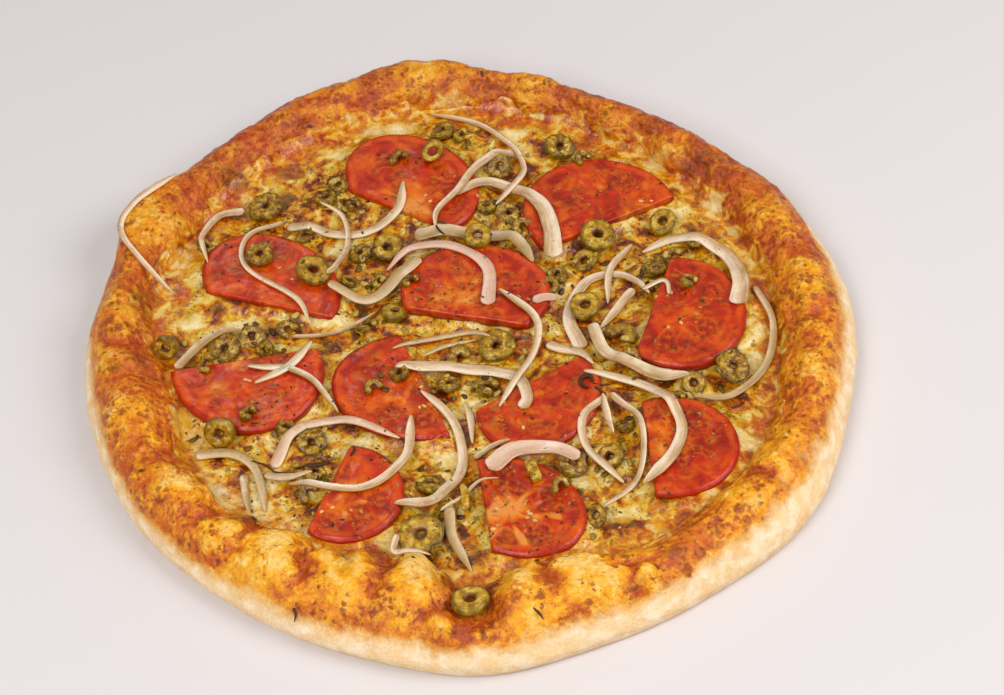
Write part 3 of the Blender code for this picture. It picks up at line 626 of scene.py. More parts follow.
class Bed:
    """What has been laid so far, felt from above with rays, in millimetres."""

    def __init__(self) -> None:
        """Start with nothing laid."""
        self.layers: list[tuple[Array, Array, BVHTree, str]] = []
        self.under = ""

    def add(self, piece: Piece) -> None:
        """Lay a finished piece."""
        points = read_points(piece)
        faces = [tuple(face.vertices) for face in piece.data.polygons]
        tree = BVHTree.FromPolygons([Vector(p) for p in points], faces)
        self.layers.append((points.min(0) / MM, points.max(0) / MM, tree, piece.name))

    def touch(self, x: float, y: float) -> tuple[float, Vector]:
        """Height and slope of the topmost piece at a place; under keeps its name.

        Args:
            x: place, in millimetres.
            y: place, in millimetres.

        Returns:
            The height in millimetres and the face's normal.
        """
        best, slope = 0.0, Vector((0, 0, 1))
        start = Vector((x * MM, y * MM, ABOVE))
        for low, high, tree, name in self.layers:
            if low[0] <= x <= high[0] and low[1] <= y <= high[1] and high[2] > best:
                hit, normal = tree.ray_cast(start, SIGHT)[:2]
                if hit is not None and hit.z / MM > best:
                    best, slope, self.under = hit.z / MM, normal, name
        return best, slope

    def top(self, x: float, y: float) -> float:
        """Height of the topmost piece at a place."""
        return self.touch(x, y)[0]


# ---------------------------------------------------------------- helpers for materials

def paint(code: str) -> tuple[float, float, float, float]:
    """A colour from its six-digit code.

    Args:
        code: red, green and blue as pairs of hexadecimal digits.

    Returns:
        The colour in linear light, with full alpha.
    """
    parts = [int(code[k:k + 2], 16) / 255 for k in (0, 2, 4)]
    return (*(p / 12.92 if p <= 0.04045 else ((p + 0.055) / 1.055) ** 2.4 for p in parts), 1.0)


class Board:
    """Places and wires nodes in one node tree."""

    def __init__(self, tree: bpy.types.NodeTree) -> None:
        """Work on a tree."""
        self.tree = tree

    def node(self, kind: str, **settings: object) -> Node:
        """Add a node.

        Args:
            kind: the node's type name.
            settings: its properties.

        Returns:
            The node.
        """
        made = self.tree.nodes.new(kind)
        for name, value in settings.items():
            setattr(made, name, value)
        made.location = (220.0 * (len(self.tree.nodes) % 8), -220.0 * (len(self.tree.nodes) // 8))
        return made

    def feed(self, socket: Socket, value: Feed) -> None:
        """Link a socket, or set the number or colour on it."""
        if isinstance(value, bpy.types.NodeSocket):
            self.tree.links.new(value, socket)
        else:
            socket.default_value = value

    def sum(self, kind: str, a: Feed, b: Feed, clamp: bool = False) -> Socket:
        """A sum of two values.

        Args:
            kind: Blender's name of the operation.
            a: the first value.
            b: the second value.
            clamp: whether the result stays between 0 and 1.

        Returns:
            The result.
        """
        made = self.node("ShaderNodeMath", operation=kind, use_clamp=clamp)
        self.feed(made.inputs[0], a)
        self.feed(made.inputs[1], b)
        return made.outputs[0]

    def plus(self, a: Feed, b: Feed, clamp: bool = False) -> Socket:
        """Two values added."""
        return self.sum("ADD", a, b, clamp)

    def minus(self, a: Feed, b: Feed) -> Socket:
        """The second value taken from the first."""
        return self.sum("SUBTRACT", a, b)

    def times(self, a: Feed, b: Feed, clamp: bool = False) -> Socket:
        """Two values multiplied."""
        return self.sum("MULTIPLY", a, b, clamp)

    def step(self, value: Feed, low: Feed, high: Feed) -> Socket:
        """Smooth step from 0 at low to 1 at high.

        Args:
            value: what is compared.
            low: where it starts to rise.
            high: where it is 1.

        Returns:
            The mask.
        """
        made = self.node("ShaderNodeMapRange", interpolation_type="SMOOTHSTEP")
        for socket, item in zip(made.inputs[:3], (value, low, high)):
            self.feed(socket, item)
        return made.outputs[0]

    def place(self) -> Socket:
        """Object coordinates in millimetres."""
        here = self.node("ShaderNodeTexCoord").outputs["Object"]
        made = self.node("ShaderNodeVectorMath", operation="SCALE")
        self.feed(made.inputs[0], here)
        made.inputs["Scale"].default_value = 1000.0
        return made.outputs[0]

    def noise(self, where: Feed, size: float, detail: float = 3.0, harsh: float = 0.55,
              twist: float = 0.0) -> Socket:
        """Noise with bumps of a given size.

        Args:
            where: the place.
            size: width of its bumps, in the place's units.
            detail: how many finer layers it has.
            harsh: how strong the finer layers are.
            twist: how much it is warped.

        Returns:
            A value round 0.5.
        """
        made = self.node("ShaderNodeTexNoise")
        self.feed(made.inputs["Vector"], where)
        values = {"Scale": 1 / size, "Detail": detail, "Roughness": harsh, "Distortion": twist}
        for name, value in values.items():
            made.inputs[name].default_value = value
        return made.outputs["Fac"]

    def grains(self, where: Feed, size: float) -> tuple[Socket, Socket]:
        """Scattered cells that each have a chance of their own.

        Args:
            where: the place.
            size: how far apart they are, in the place's units.

        Returns:
            The distance to the nearest middle, and that cell's chance from 0 to 1.
        """
        made = self.node("ShaderNodeTexVoronoi")
        self.feed(made.inputs["Vector"], where)
        self.feed(made.inputs["Scale"], 1 / size)
        split = self.node("ShaderNodeSeparateColor")
        self.feed(split.inputs[0], made.outputs["Color"])
        return made.outputs["Distance"], split.outputs[0]

    def warped(self, where: Feed, size: float, push: float) -> Socket:
        """A place pushed about by noise.

        Args:
            where: the place.
            size: width of the noise's bumps, in the place's units.
            push: how far it is pushed, in the same units.

        Returns:
            The new place.
        """
        made = self.node("ShaderNodeTexNoise")
        self.feed(made.inputs["Vector"], where)
        self.feed(made.inputs["Scale"], 1 / size)
        centred = self.node("ShaderNodeVectorMath", operation="SUBTRACT")
        self.feed(centred.inputs[0], made.outputs["Color"])
        centred.inputs[1].default_value = (0.5, 0.5, 0.5)
        scaled = self.node("ShaderNodeVectorMath", operation="SCALE")
        self.feed(scaled.inputs[0], centred.outputs[0])
        scaled.inputs["Scale"].default_value = 3.0 * push
        added = self.node("ShaderNodeVectorMath", operation="ADD")
        self.feed(added.inputs[0], where)
        self.feed(added.inputs[1], scaled.outputs[0])
        return added.outputs[0]

    def offset(self, value: Feed, strength: Feed) -> Socket:
        """How far a value is from 0.5, times a strength."""
        return self.times(self.minus(value, 0.5), strength)

    def ragged(self, value: Feed, noise_value: Feed, push: Feed) -> Socket:
        """A value pushed up and down by noise."""
        return self.plus(value, self.offset(noise_value, push))

    def band(self, value: Feed, rise: tuple[float, float], fall: tuple[float, float], breaks: Feed,
             keep: tuple[float, float]) -> Socket:
        """A band along a value, between its rise and its fall, broken up by noise."""
        whole = self.times(self.step(value, *rise), self.step(value, *fall))
        return self.times(whole, self.step(breaks, *keep))

    def ramp(self, value: Feed, *stops: tuple[float, str]) -> Socket:
        """Colours along a value.

        Args:
            value: what chooses the colour.
            stops: places and colour codes, in order.

        Returns:
            The colour.
        """
        made = self.node("ShaderNodeValToRGB")
        self.feed(made.inputs[0], value)
        band = made.color_ramp.elements
        while len(band) < len(stops):
            band.new(0.5)
        for element, (at, code) in zip(band, stops):
            element.position = at
            element.color = paint(code)
        return made.outputs[0]

    def mix(self, share: Feed, a: Feed, b: Feed) -> Socket:
        """Blend two colours.

        Args:
            share: how much of the second.
            a: the first colour.
            b: the second colour.

        Returns:
            The colour.
        """
        made = self.node("ShaderNodeMix", data_type="RGBA")
        self.feed(made.inputs[0], share)
        self.feed(made.inputs[6], a)
        self.feed(made.inputs[7], b)
        return made.outputs[2]

    def over(self, colour: Feed, share: Feed, strength: float, cover: Union[str, Socket]) -> Socket:
        """Lay a colour, or a colour's code, over another at a share of the places."""
        top = paint(cover) if isinstance(cover, str) else cover
        return self.mix(self.times(share, strength), colour, top)

    def roughen(self, shader: Node, noise_value: Socket, spread: float, least: float) -> None:
        """Let noise vary the roughness, from its least value up."""
        self.feed(shader.inputs["Roughness"], self.plus(self.times(noise_value, spread), least, True))

    def dress(self, shader: Node, colour: Socket, normal: Socket) -> None:
        """Give the shader its colour and relief."""
        self.feed(shader.inputs["Base Color"], colour)
        self.feed(shader.inputs["Normal"], normal)

    def marked(self, name: str, output: str = "Fac") -> Socket:
        """What was kept at the vertices under a name."""
        return self.node("ShaderNodeAttribute", attribute_name=name).outputs[output]

    def bump(self, height: Feed, strength: float, reach: float, under: Optional[Socket] = None) -> Socket:
        """Fine relief.

        Args:
            height: the relief, round 0 to 1.
            strength: how strongly it shows.
            reach: how deep it is, in millimetres.
            under: a normal from other relief.

        Returns:
            The normal.
        """
        made = self.node("ShaderNodeBump")
        made.inputs["Strength"].default_value = strength
        made.inputs["Distance"].default_value = reach * MM
        self.feed(made.inputs["Height"], height)
        if under is not None:
            self.feed(made.inputs["Normal"], under)
        return made.outputs[0]

    def group(self, tree: bpy.types.NodeTree, values: dict[str, Feed], output: str) -> Socket:
        """Place a shared effect with its own values.

        Args:
            tree: the effect.
            values: what its named inputs get.
            output: the name of the output wanted.

        Returns:
            That output.
        """
        made = self.node("ShaderNodeGroup", node_tree=tree)
        for name, value in values.items():
            self.feed(made.inputs[name], value)
        return made.outputs[output]


def shared_effect(name: str, inputs: Sequence[tuple[str, str]], outputs: Sequence[tuple[str, str]],
                  fill: Callable[[Board, dict[str, Socket]], dict[str, Socket]]) -> bpy.types.NodeTree:
    """Build a node group with named sockets.

    Args:
        name: the effect's name.
        inputs: name and socket type of each input.
        outputs: name and socket type of each output.
        fill: wires the group and gives what each output gets.

    Returns:
        The group.
    """
    tree = bpy.data.node_groups.new(name, "ShaderNodeTree")
    for label, kind in inputs:
        tree.interface.new_socket(name=label, in_out="INPUT", socket_type=kind)
    for label, kind in outputs:
        tree.interface.new_socket(name=label, in_out="OUTPUT", socket_type=kind)
    board = Board(tree)
    start, end = board.node("NodeGroupInput"), board.node("NodeGroupOutput")
    made = fill(board, {label: start.outputs[label] for label, _ in inputs})
    for label, socket in made.items():
        board.feed(end.inputs[label], socket)
    return tree


def fill_scorch(board: Board, given: dict[str, Socket]) -> dict[str, Socket]:
    """Clusters of small browned specks.

    Args:
        board: the group's nodes.
        given: Place, Cluster and Grain (one over their sizes) and Amount.

    Returns:
        The Mask.
    """
    values = []
    for label, detail in (("Cluster", 2.0), ("Grain", 3.0)):
        made = board.node("ShaderNodeTexNoise")
        board.feed(made.inputs["Vector"], given["Place"])
        board.feed(made.inputs["Scale"], given[label])
        made.inputs["Detail"].default_value = detail
        made.inputs["Roughness"].default_value = 0.6
        values.append(made.outputs["Fac"])
    total = board.plus(board.ragged(values[1], values[0], 1.1), given["Amount"])
    return {"Mask": board.step(total, 0.60, 0.70)}


def fill_mottle(board: Board, given: dict[str, Socket]) -> dict[str, Socket]:
    """Uneven lightness, as in baked or cut food.

    Args:
        board: the group's nodes.
        given: Place, Scale (one over its size), Tint and Depth.

    Returns:
        The Color.
    """
    made = board.node("ShaderNodeTexNoise")
    board.feed(made.inputs["Vector"], given["Place"])
    board.feed(made.inputs["Scale"], given["Scale"])
    made.inputs["Detail"].default_value = 4.0
    made.inputs["Roughness"].default_value = 0.6
    light = board.ragged(1.0, made.outputs["Fac"], given["Depth"])
    rich = board.node("ShaderNodeHueSaturation")
    board.feed(rich.inputs["Color"], given["Tint"])
    board.feed(rich.inputs["Saturation"], 1.15)
    board.feed(rich.inputs["Value"], light)
    return {"Color": rich.outputs[0]}


def fill_seam(board: Board, given: dict[str, Socket]) -> dict[str, Socket]:
    """Sauce, orange fat and pale cheese run together where the rim meets the middle.

    Args:
        board: the group's nodes.
        given: Place.

    Returns:
        The Color.
    """
    run = board.noise(given["Place"], 6.5, 5.0, 0.6, 0.7)
    return {"Color": board.ramp(run, (0.33, "78260a"), (0.41, "a63f10"), (0.48, "c4681c"), (0.54, "d8983e"),
                                (0.60, "e0bc78"), (0.70, "e8d3a2"))}


@dataclass(frozen=True)
class Effects:
    """The effects that several finishes share."""

    scorch: bpy.types.NodeTree
    mottle: bpy.types.NodeTree
    seam: bpy.types.NodeTree
    grain: float = 1.8

    def scorched(self, board: Board, place: Socket, cluster: float, amount: float) -> Socket:
        """Where clusters of a size in millimetres are browned."""
        return board.group(self.scorch, {"Place": place, "Cluster": 1 / cluster, "Grain": 1 / self.grain,
                                         "Amount": amount}, "Mask")

    def mottled(self, board: Board, place: Socket, colour: Socket, size: float, depth: float) -> Socket:
        """A colour made uneven by patches of a size in millimetres."""
        return board.group(self.mottle, {"Place": place, "Scale": 1 / size, "Tint": colour,
                                         "Depth": depth}, "Color")

    def run_together(self, board: Board, place: Socket) -> Socket:
        """Sauce, fat and cheese as they run together along the rim."""
        return board.group(self.seam, {"Place": place}, "Color")


def build_effects() -> Effects:
    """Build the groups of the shared effects."""
    number, vector, colour = "NodeSocketFloat", "NodeSocketVector", "NodeSocketColor"
    scorch = shared_effect("scorched specks", [("Place", vector), ("Cluster", number), ("Grain", number),
                                               ("Amount", number)], [("Mask", number)], fill_scorch)
    mottle = shared_effect("uneven tone", [("Place", vector), ("Scale", number), ("Tint", colour),
                                           ("Depth", number)], [("Color", colour)], fill_mottle)
    seam = shared_effect("cheese and sauce", [("Place", vector)], [("Color", colour)], fill_seam)
    return Effects(scorch, mottle, seam)


def start_finish(name: str, rough_value: float, **uniform: float) -> tuple[Material, Board, Node]:
    """A material with its shader's uniform values set.

    Args:
        name: the material's name.
        rough_value: its roughness where nothing else feeds it.
        uniform: values of the shader's other sockets, with _ for a space.

    Returns:
        The material, its board and the shader.
    """
    made = bpy.data.materials.new(name)
    made.use_nodes = True
    shader = made.node_tree.nodes["Principled BSDF"]
    shader.inputs["Roughness"].default_value = rough_value
    for key, value in uniform.items():
        shader.inputs[key.replace("_", " ")].default_value = value
    return made, Board(made.node_tree), shader


# ---------------------------------------------------------------- finishes

def sauced(board: Board, place: Socket, colour: Socket, low: float, high: float, strength: float) -> Socket:
    """Let tomato sauce show through at its marks.

    Args:
        board: the material's nodes.
        place: places in millimetres.
        colour: what lies round it.
        low: where the mark starts to show.
        high: where it shows fully.
        strength: how much of the colour it takes.

    Returns:
        The colour.
    """
    red = board.ragged(board.marked("sauce"), board.noise(place, 5.0, 5.0, 0.62, 0.6), 1.7)
    tomato = board.ramp(board.noise(place, 3.0, 4.0), (0.36, "8a270a"), (0.5, "b54614"), (0.64, "d57a34"))
    return board.over(colour, board.step(red, low, high), strength, tomato)


def pooled(board: Board, place: Socket, colour: Socket, low: float, high: float, strength: float,
           white: Socket) -> Socket:
    """Lay pools of white cheese at their marks.

    Args:
        board: the material's nodes.
        place: places in millimetres.
        colour: what lies round them.
        low: where the mark starts to show.
        high: where it shows fully.
        strength: how much of the colour they take.
        white: the cheese's own colour.

    Returns:
        The colour.
    """
    pool = board.ragged(board.marked("pool"), board.noise(place, 5.0, 4.0, 0.6, 0.5), 1.3)
    return board.over(colour, board.step(pool, low, high), strength, white)


def blistered(board: Board, place: Socket, colour: Socket) -> Socket:
    """Brown the blisters at their marks.

    Args:
        board: the material's nodes.
        place: places in millimetres.
        colour: what lies round them.

    Returns:
        The colour.
    """
    blister = board.ragged(board.marked("blister"), board.noise(place, 4.0, 3.0), 0.5)
    bubble = board.ramp(board.noise(place, 3.4, 3.0), (0.4, "763a10"), (0.6, "a8642a"))
    return board.over(colour, board.step(blister, 0.30, 0.62), 0.9, bubble)


@dataclass(frozen=True)
class CrustFinish:
    """Baked cheese over the rim, sauce in its crease and floury dough below.

    gold and brown are the tones of the near and the far side, each at its share of the way from
    dark to light. crumb is the size of the baked crumbs, and specks are the toasted ones: size in
    millimetres, where their chance sets in, and how strongly they show.
    """

    effects: Effects
    gold: Stops = (
        (0.34, "aa420c"), (0.47, "d07018"), (0.57, "e69432"), (0.67, "f0b45c"), (0.82, "f5ce88"))
    brown: Stops = (
        (0.33, "8e320a"), (0.47, "b4520e"), (0.59, "ce7420"), (0.71, "dd9840"), (0.86, "e8ba72"))
    dough: str = "ebcda2"
    flour: str = "f5e5cc"
    crumb: float = 2.7
    specks: tuple[tuple[float, float, float], ...] = ((3.8, 0.82, 0.75), (2.3, 0.75, 0.78), (1.3, 0.76, 0.58))

    def baked(self, board: Board, place: Socket, broad: Socket, chance: Socket, curd: Socket) -> Socket:
        """The cheese that browned on the rim, crumb by crumb, with painted highlights on the tops of lobes and
        crumbs and painted shade in the creases and between crumbs.

        Args:
            board: the material's nodes.
            place: places in millimetres.
            broad: wide unevenness.
            chance: a value for each crumb.
            curd: distance from each crumb's middle.

        Returns:
            The colour.
        """
        split = board.node("ShaderNodeSeparateXYZ")
        board.feed(split.inputs[0], place)
        lobe, toast = board.marked("lobe"), board.marked("toast")
        # lighter on the tops of the lobes and darker in the low places: painted highlight and painted shade
        tone = board.plus(board.times(broad, 0.72), board.times(lobe, 0.42))
        tone = board.ragged(tone, chance, 0.10)
        tone = board.ragged(tone, board.noise(place, 4.5, 4.0, 0.6), 0.42)
        far = board.step(board.plus(split.outputs[1], board.times(broad, 90.0)), 10.0, 150.0)
        colour = board.over(board.ramp(tone, *self.gold), far, 0.85, board.ramp(tone, *self.brown))
        # darker borders between the crumbs are painted shade, paler middles are painted highlight
        colour = board.over(colour, board.step(curd, 0.45, 0.80), 0.18, "b4530f")
        colour = board.over(colour, board.step(curd, 0.34, 0.10), 0.20, "f8d695")
        # red-brown in the creases between the lobes: painted shade
        folds = board.step(board.noise(place, 6.0, 4.0), 0.36, 0.56)
        colour = board.over(colour, board.times(board.step(lobe, 0.42, 0.08), folds), 0.60, "b04c10")
        pale = board.step(board.noise(place, 6.0, 5.0, 0.6, 0.4), 0.52, 0.66)
        colour = board.over(colour, pale, 0.42, "f1c680")
        # single crumbs and small clusters that toasted red-brown
        amount = board.ragged(board.times(toast, 1.1), board.noise(place, 13.0, 3.0, 0.6), 1.5)
        amount = board.plus(amount, board.times(board.minus(0.5, lobe), 0.25))
        for size, level, strength in self.specks:
            apart, luck = board.grains(board.warped(place, 2.0, 1.0), size)
            roast = board.step(board.plus(luck, amount), level, level + 0.14)
            roast = board.times(roast, board.step(apart, 0.68, 0.30))
            colour = board.over(colour, roast, strength, board.ramp(luck, (0.3, "b04a10"), (0.9, "84300a")))
        blush = board.plus(board.noise(place, 9.0, 5.0, 0.65, 0.5), board.times(toast, 0.8))
        colour = board.over(colour, board.step(blush, 0.54, 0.68), 0.50, "c2521a")
        return sauced(board, place, colour, 0.36, 0.72, 0.80)

    def build(self) -> Material:
        """Wire the material.

        Returns:
            The material.
        """
        made, board, shader = start_finish("baked rim", 0.42, Specular_IOR_Level=0.42)
        place = board.place()
        broad = board.noise(place, 14.0, 5.0, 0.62, 0.7)
        curd, chance = board.grains(board.warped(place, 3.0, 1.2), self.crumb)
        colour = self.baked(board, place, broad, chance, curd)
        # the crease along the cheese, white pools, blisters and scorched places
        crease = board.ragged(board.marked("crease"), board.noise(place, 6.0, 4.0), 1.6)
        seam = self.effects.run_together(board, place)
        colour = board.over(colour, board.step(crease, 0.42, 0.86), 0.85, seam)
        white = board.ramp(curd, (0.15, "ead2a4"), (0.5, "dcb478"))
        colour = pooled(board, place, colour, 0.50, 0.95, 0.70, white)
        colour = blistered(board, place, colour)
        char = board.times(board.marked("char"), board.step(board.noise(place, 3.0, 4.0), 0.30, 0.60), True)
        colour = board.over(colour, char, 0.75, "4f1c08")
        # bare dough of the outer side, with floury patches and the toasted bumps
        edge = board.ragged(board.marked("bare"), board.noise(place, 11.0, 5.0, 0.6), 0.80)
        dark = board.step(board.noise(place, 13.0, 3.0), 0.46, 0.70)
        floury = board.step(board.noise(place, 6.0, 3.0, 0.5), 0.38, 0.68)
        dough = board.over(board.over(paint(self.dough), dark, 0.5, "dfb385"), floury, 0.7, self.flour)
        colour = board.over(colour, board.step(edge, 0.26, 0.60), 0.75, "efc68a")
        colour = board.mix(board.step(edge, 0.46, 0.80), colour, dough)
        toasted = board.ragged(board.marked("toasted"), board.noise(place, 3.0, 3.0), 0.8)
        knob = board.ramp(board.noise(place, 2.4, 3.0), (0.4, "8c3a0e"), (0.6, "bc6a26"))
        colour = board.over(colour, board.step(toasted, 0.30, 0.55), 0.9, knob)
        colour = self.effects.mottled(board, place, colour, 1.1, 0.55)
        # the dough is duller and smoother than the baked crumbs
        dull = board.plus(board.times(board.noise(place, 2.2, 3.0), 0.50), 0.12)
        dull = board.plus(dull, board.times(board.step(edge, 0.45, 0.7), 0.40), True)
        board.feed(shader.inputs["Roughness"], dull)
        grains = board.bump(board.times(board.minus(1.0, curd), board.step(edge, 0.8, 0.4)), 0.55, 1.2)
        calm = board.minus(1.0, board.times(board.step(edge, 0.4, 0.8), 0.85))
        fine = board.times(board.noise(place, 1.2, 4.0, 0.6), calm)
        board.dress(shader, colour, board.bump(fine, 0.6, 0.9, grains))
        return made


@dataclass(frozen=True)
class CheeseFinish:
    """Melted cheese: white pools, orange fat, browned edges and blisters.

    curd is the size of its lumps, and specks are its browned crumbs: size in millimetres, and
    where their chance sets in.
    """

    effects: Effects
    tones: Stops = (
        (0.32, "542008"), (0.39, "8a3e0a"), (0.45, "b66212"), (0.505, "c98426"), (0.56, "d0a146"),
        (0.63, "d8bb72"), (0.78, "e6d29c"))
    curd: float = 3.1
    specks: tuple[tuple[float, float], ...] = ((2.3, 0.84), (1.3, 0.80))

    def build(self) -> Material:
        """Wire the material.

        Returns:
            The material.
        """
        made, board, shader = start_finish("melted cheese", 0.3, Specular_IOR_Level=0.5, Coat_Weight=0.15,
                                           Coat_Roughness=0.12)
        place = board.place()
        curd, chance = board.grains(board.warped(place, 3.5, 1.6), self.curd)
        broad = board.noise(place, 9.0, 5.0, 0.62, 0.6)
        tone = board.plus(board.times(broad, 1.5), board.times(board.marked("pool"), 0.13))
        tone = board.minus(tone, 0.262)
        tone = board.ragged(tone, chance, 0.05)
        tone = board.plus(tone, board.times(board.marked("oil"), 0.045))
        tone = board.ragged(tone, board.marked("low"), 0.15)
        colour = board.ramp(tone, *self.tones)
        colour = board.over(colour, board.step(board.noise(place, 8.0, 4.0), 0.50, 0.66), 0.34, "96802e")
        # browned blisters, with a dark ring round a paler middle
        cells, some = board.grains(board.warped(place, 4.0, 1.5), 6.0)
        ring = board.times(board.step(cells, 0.46, 0.28), board.step(some, 0.60, 0.70))
        rings = board.ramp(cells, (0.06, "d08c34"), (0.2, "98480e"), (0.34, "b86616"))
        colour = board.over(colour, ring, 0.60, rings)
        amount = board.offset(board.noise(place, 12.0, 3.0, 0.6), 1.5)
        for size, level in self.specks:
            apart, luck = board.grains(board.warped(place, 2.0, 1.0), size)
            speck = board.step(board.plus(luck, amount), level, level + 0.12)
            speck = board.times(speck, board.step(apart, 0.62, 0.34))
            colour = board.over(colour, speck, 0.62, board.ramp(luck, (0.3, "84450f"), (0.9, "4c2a0a")))
        # towards the rim it is the same run of sauce and cheese as there
        edge = board.ragged(board.marked("edge"), board.noise(place, 7.0, 4.0), 1.2)
        seam = self.effects.run_together(board, place)
        colour = board.over(colour, board.step(edge, 0.25, 0.80), 0.80, seam)
        colour = sauced(board, place, colour, 0.46, 0.80, 0.75)
        white = board.ramp(broad, (0.38, "c89c52"), (0.52, "dec68c"), (0.64, "e8d8ac"))
        colour = pooled(board, place, colour, 0.35, 0.85, 0.80, white)
        colour = blistered(board, place, colour)
        colour = self.effects.mottled(board, place, colour, 1.1, 0.45)
        board.roughen(shader, board.noise(place, 2.6, 3.0), 0.5, 0.03)
        lumps = board.bump(board.minus(1.0, curd), 0.45, 1.2)
        board.dress(shader, colour, board.bump(board.noise(place, 1.5, 3.0), 0.5, 0.6, lumps))
        return made


@dataclass(frozen=True)
class TomatoFinish:
    """Wet cut face with its skin, walls, pale core and seed pockets."""

    effects: Effects
    flesh: Stops = (
        (0.34, "8a1604"), (0.44, "a62206"), (0.53, "ba300e"), (0.62, "c84a20"), (0.74, "d26c40"))
    jelly: Stops = ((0.38, "7a1804"), (0.5, "a2300a"), (0.62, "bc641c"))

    def build(self) -> Material:
        """Wire the material.

        Returns:
            The material.
        """
        made, board, shader = start_finish("tomato", 0.25, Specular_IOR_Level=0.3, Coat_Weight=0.12,
                                           Coat_Roughness=0.12, Subsurface_Weight=0.25, Subsurface_Scale=0.004)
        place, spoke = board.place(), board.marked("spoke", "Vector")
        skin, core, pocket = board.marked("skin"), board.marked("core"), board.marked("pocket")
        colour = board.ramp(board.noise(place, 11.0, 4.0, 0.6, 0.5), *self.flesh)
        drawn = board.step(board.noise(spoke, 0.22, 4.0, 0.6), 0.46, 0.70)
        drawn = board.times(drawn, board.step(core, 0.45, 0.10))
        colour = board.over(colour, drawn, 0.50, "d4703e")
        pale = board.ragged(core, board.noise(place, 7.0, 4.0, 0.6, 0.6), 1.4)
        colour = board.over(colour, board.step(pale, 0.22, 0.95), 0.85, "e2a06c")
        lining = board.band(pocket, (0.03, 0.25), (0.75, 0.40), board.noise(place, 5.0, 3.0), (0.40, 0.62))
        colour = board.over(colour, lining, 0.45, "de8452")
        jelly = board.ramp(board.noise(place, 2.6, 3.0), *self.jelly)
        colour = board.over(colour, board.step(pocket, 0.15, 0.8), 0.75, jelly)
        # the skin, the pale wall under it and the deeper red inside that
        colour = board.over(colour, board.step(skin, 0.14, 0.03), 0.8, "a42206")
        wall = board.band(skin, (0.13, 0.24), (0.52, 0.32), board.noise(place, 7.0, 3.0), (0.38, 0.62))
        colour = board.over(colour, wall, 0.45, "d86c3c")
        inner = board.band(skin, (0.40, 0.54), (0.80, 0.58), board.noise(place, 8.0, 3.0), (0.42, 0.60))
        colour = board.over(colour, inner, 0.45, "8e1e0a")
        colour = board.over(colour, self.effects.scorched(board, place, 12, -0.06), 0.5, "6f240c")
        colour = self.effects.mottled(board, place, colour, 1.8, 0.35)
        board.roughen(shader, board.noise(place, 4.0, 3.0), 0.55, 0.10)
        ripple = board.bump(drawn, 0.2, 0.5)
        board.dress(shader, colour, board.bump(board.noise(place, 2.1, 3.0), 0.32, 0.6, ripple))
        return made


@dataclass(frozen=True)
class OnionFinish:
    """Cooked onion: pale, a little glassy, veined along its length, with one edge paler as a painted highlight."""

    effects: Effects
    layer: Stops = ((0.12, "ae8a5a"), (0.45, "cdae88"), (0.80, "ead4b8"))

    def build(self) -> Material:
        """Wire the material.

        Returns:
            The material.
        """
        made, board, shader = start_finish("onion", 0.3, Specular_IOR_Level=0.5, Coat_Weight=0.30,
                                           Coat_Roughness=0.10, Subsurface_Weight=0.45, Subsurface_Scale=0.003)
        place = board.place()
        vein = board.noise(board.marked("grain", "Vector"), 0.42, 3.0, 0.6)
        # one edge of each strip paler than the other: painted highlight along the rounded outer skin, glassier
        # towards the other edge
        side = board.ragged(board.marked("side"), board.noise(place, 9.0, 2.0), 0.7)
        colour = board.ramp(side, *self.layer)
        colour = board.over(colour, board.step(vein, 0.50, 0.66), 0.50, "ecd8ba")
        colour = board.over(colour, board.step(vein, 0.47, 0.36), 0.40, "b08c5c")
        clear = board.ragged(board.marked("clear"), board.noise(place, 10.0, 3.0), 1.7)
        glass = board.ramp(side, (0.2, "a08044"), (0.7, "c0a470"))
        colour = board.over(colour, board.step(clear, 0.20, 0.90), 0.80, glass)
        pink = board.ragged(board.marked("pink"), board.noise(place, 14.0, 2.0), 0.6)
        colour = board.over(colour, board.step(pink, 0.30, 0.95), 0.55, "d9ab98")
        colour = board.over(colour, self.effects.scorched(board, place, 11, -0.10), 0.45, "b3783a")
        colour = board.over(colour, board.marked("tip"), 0.4, "c9a05c")
        board.roughen(shader, board.noise(place, 3.0, 2.0), 0.4, 0.10)
        board.dress(shader, colour, board.bump(vein, 0.45, 0.35))
        return made


@dataclass(frozen=True)
class OliveFinish:
    """Green olive: darker skin, paler cut face, dark brown painted shade round the hole, and brown where it dried.
    """

    effects: Effects
    flesh: Stops = ((0.34, "82591e"), (0.50, "b08a40"), (0.66, "d6b872"))
    skin: Stops = ((0.35, "604812"), (0.52, "8c7026"), (0.68, "b4984a"))

    def build(self) -> Material:
        """Wire the material.

        Returns:
            The material.
        """
        made, board, shader = start_finish("green olive", 0.3, Specular_IOR_Level=0.45, Coat_Weight=0.12,
                                           Coat_Roughness=0.15)
        place = board.place()
        patch = board.noise(place, 3.2, 4.0, 0.6)
        rind = board.step(board.marked("rind"), 0.30, 0.70)
        colour = board.mix(rind, board.ramp(patch, *self.flesh), board.ramp(patch, *self.skin))
        # dark brown on the ring's inner wall: painted shade in the hole
        colour = board.over(colour, board.step(board.marked("hole"), 0.20, 0.80), 0.85, "55280a")
        folds = board.step(board.noise(place, 1.7, 4.0, 0.65), 0.43, 0.58)
        colour = board.over(colour, board.times(board.marked("dry"), folds), 0.75, "573410")
        colour = self.effects.mottled(board, place, colour, 0.8, 0.4)
        board.roughen(shader, board.noise(place, 1.5, 3.0), 0.5, 0.05)
        board.dress(shader, colour, board.bump(board.noise(place, 0.9, 3.0), 0.6, 0.5))
        return made


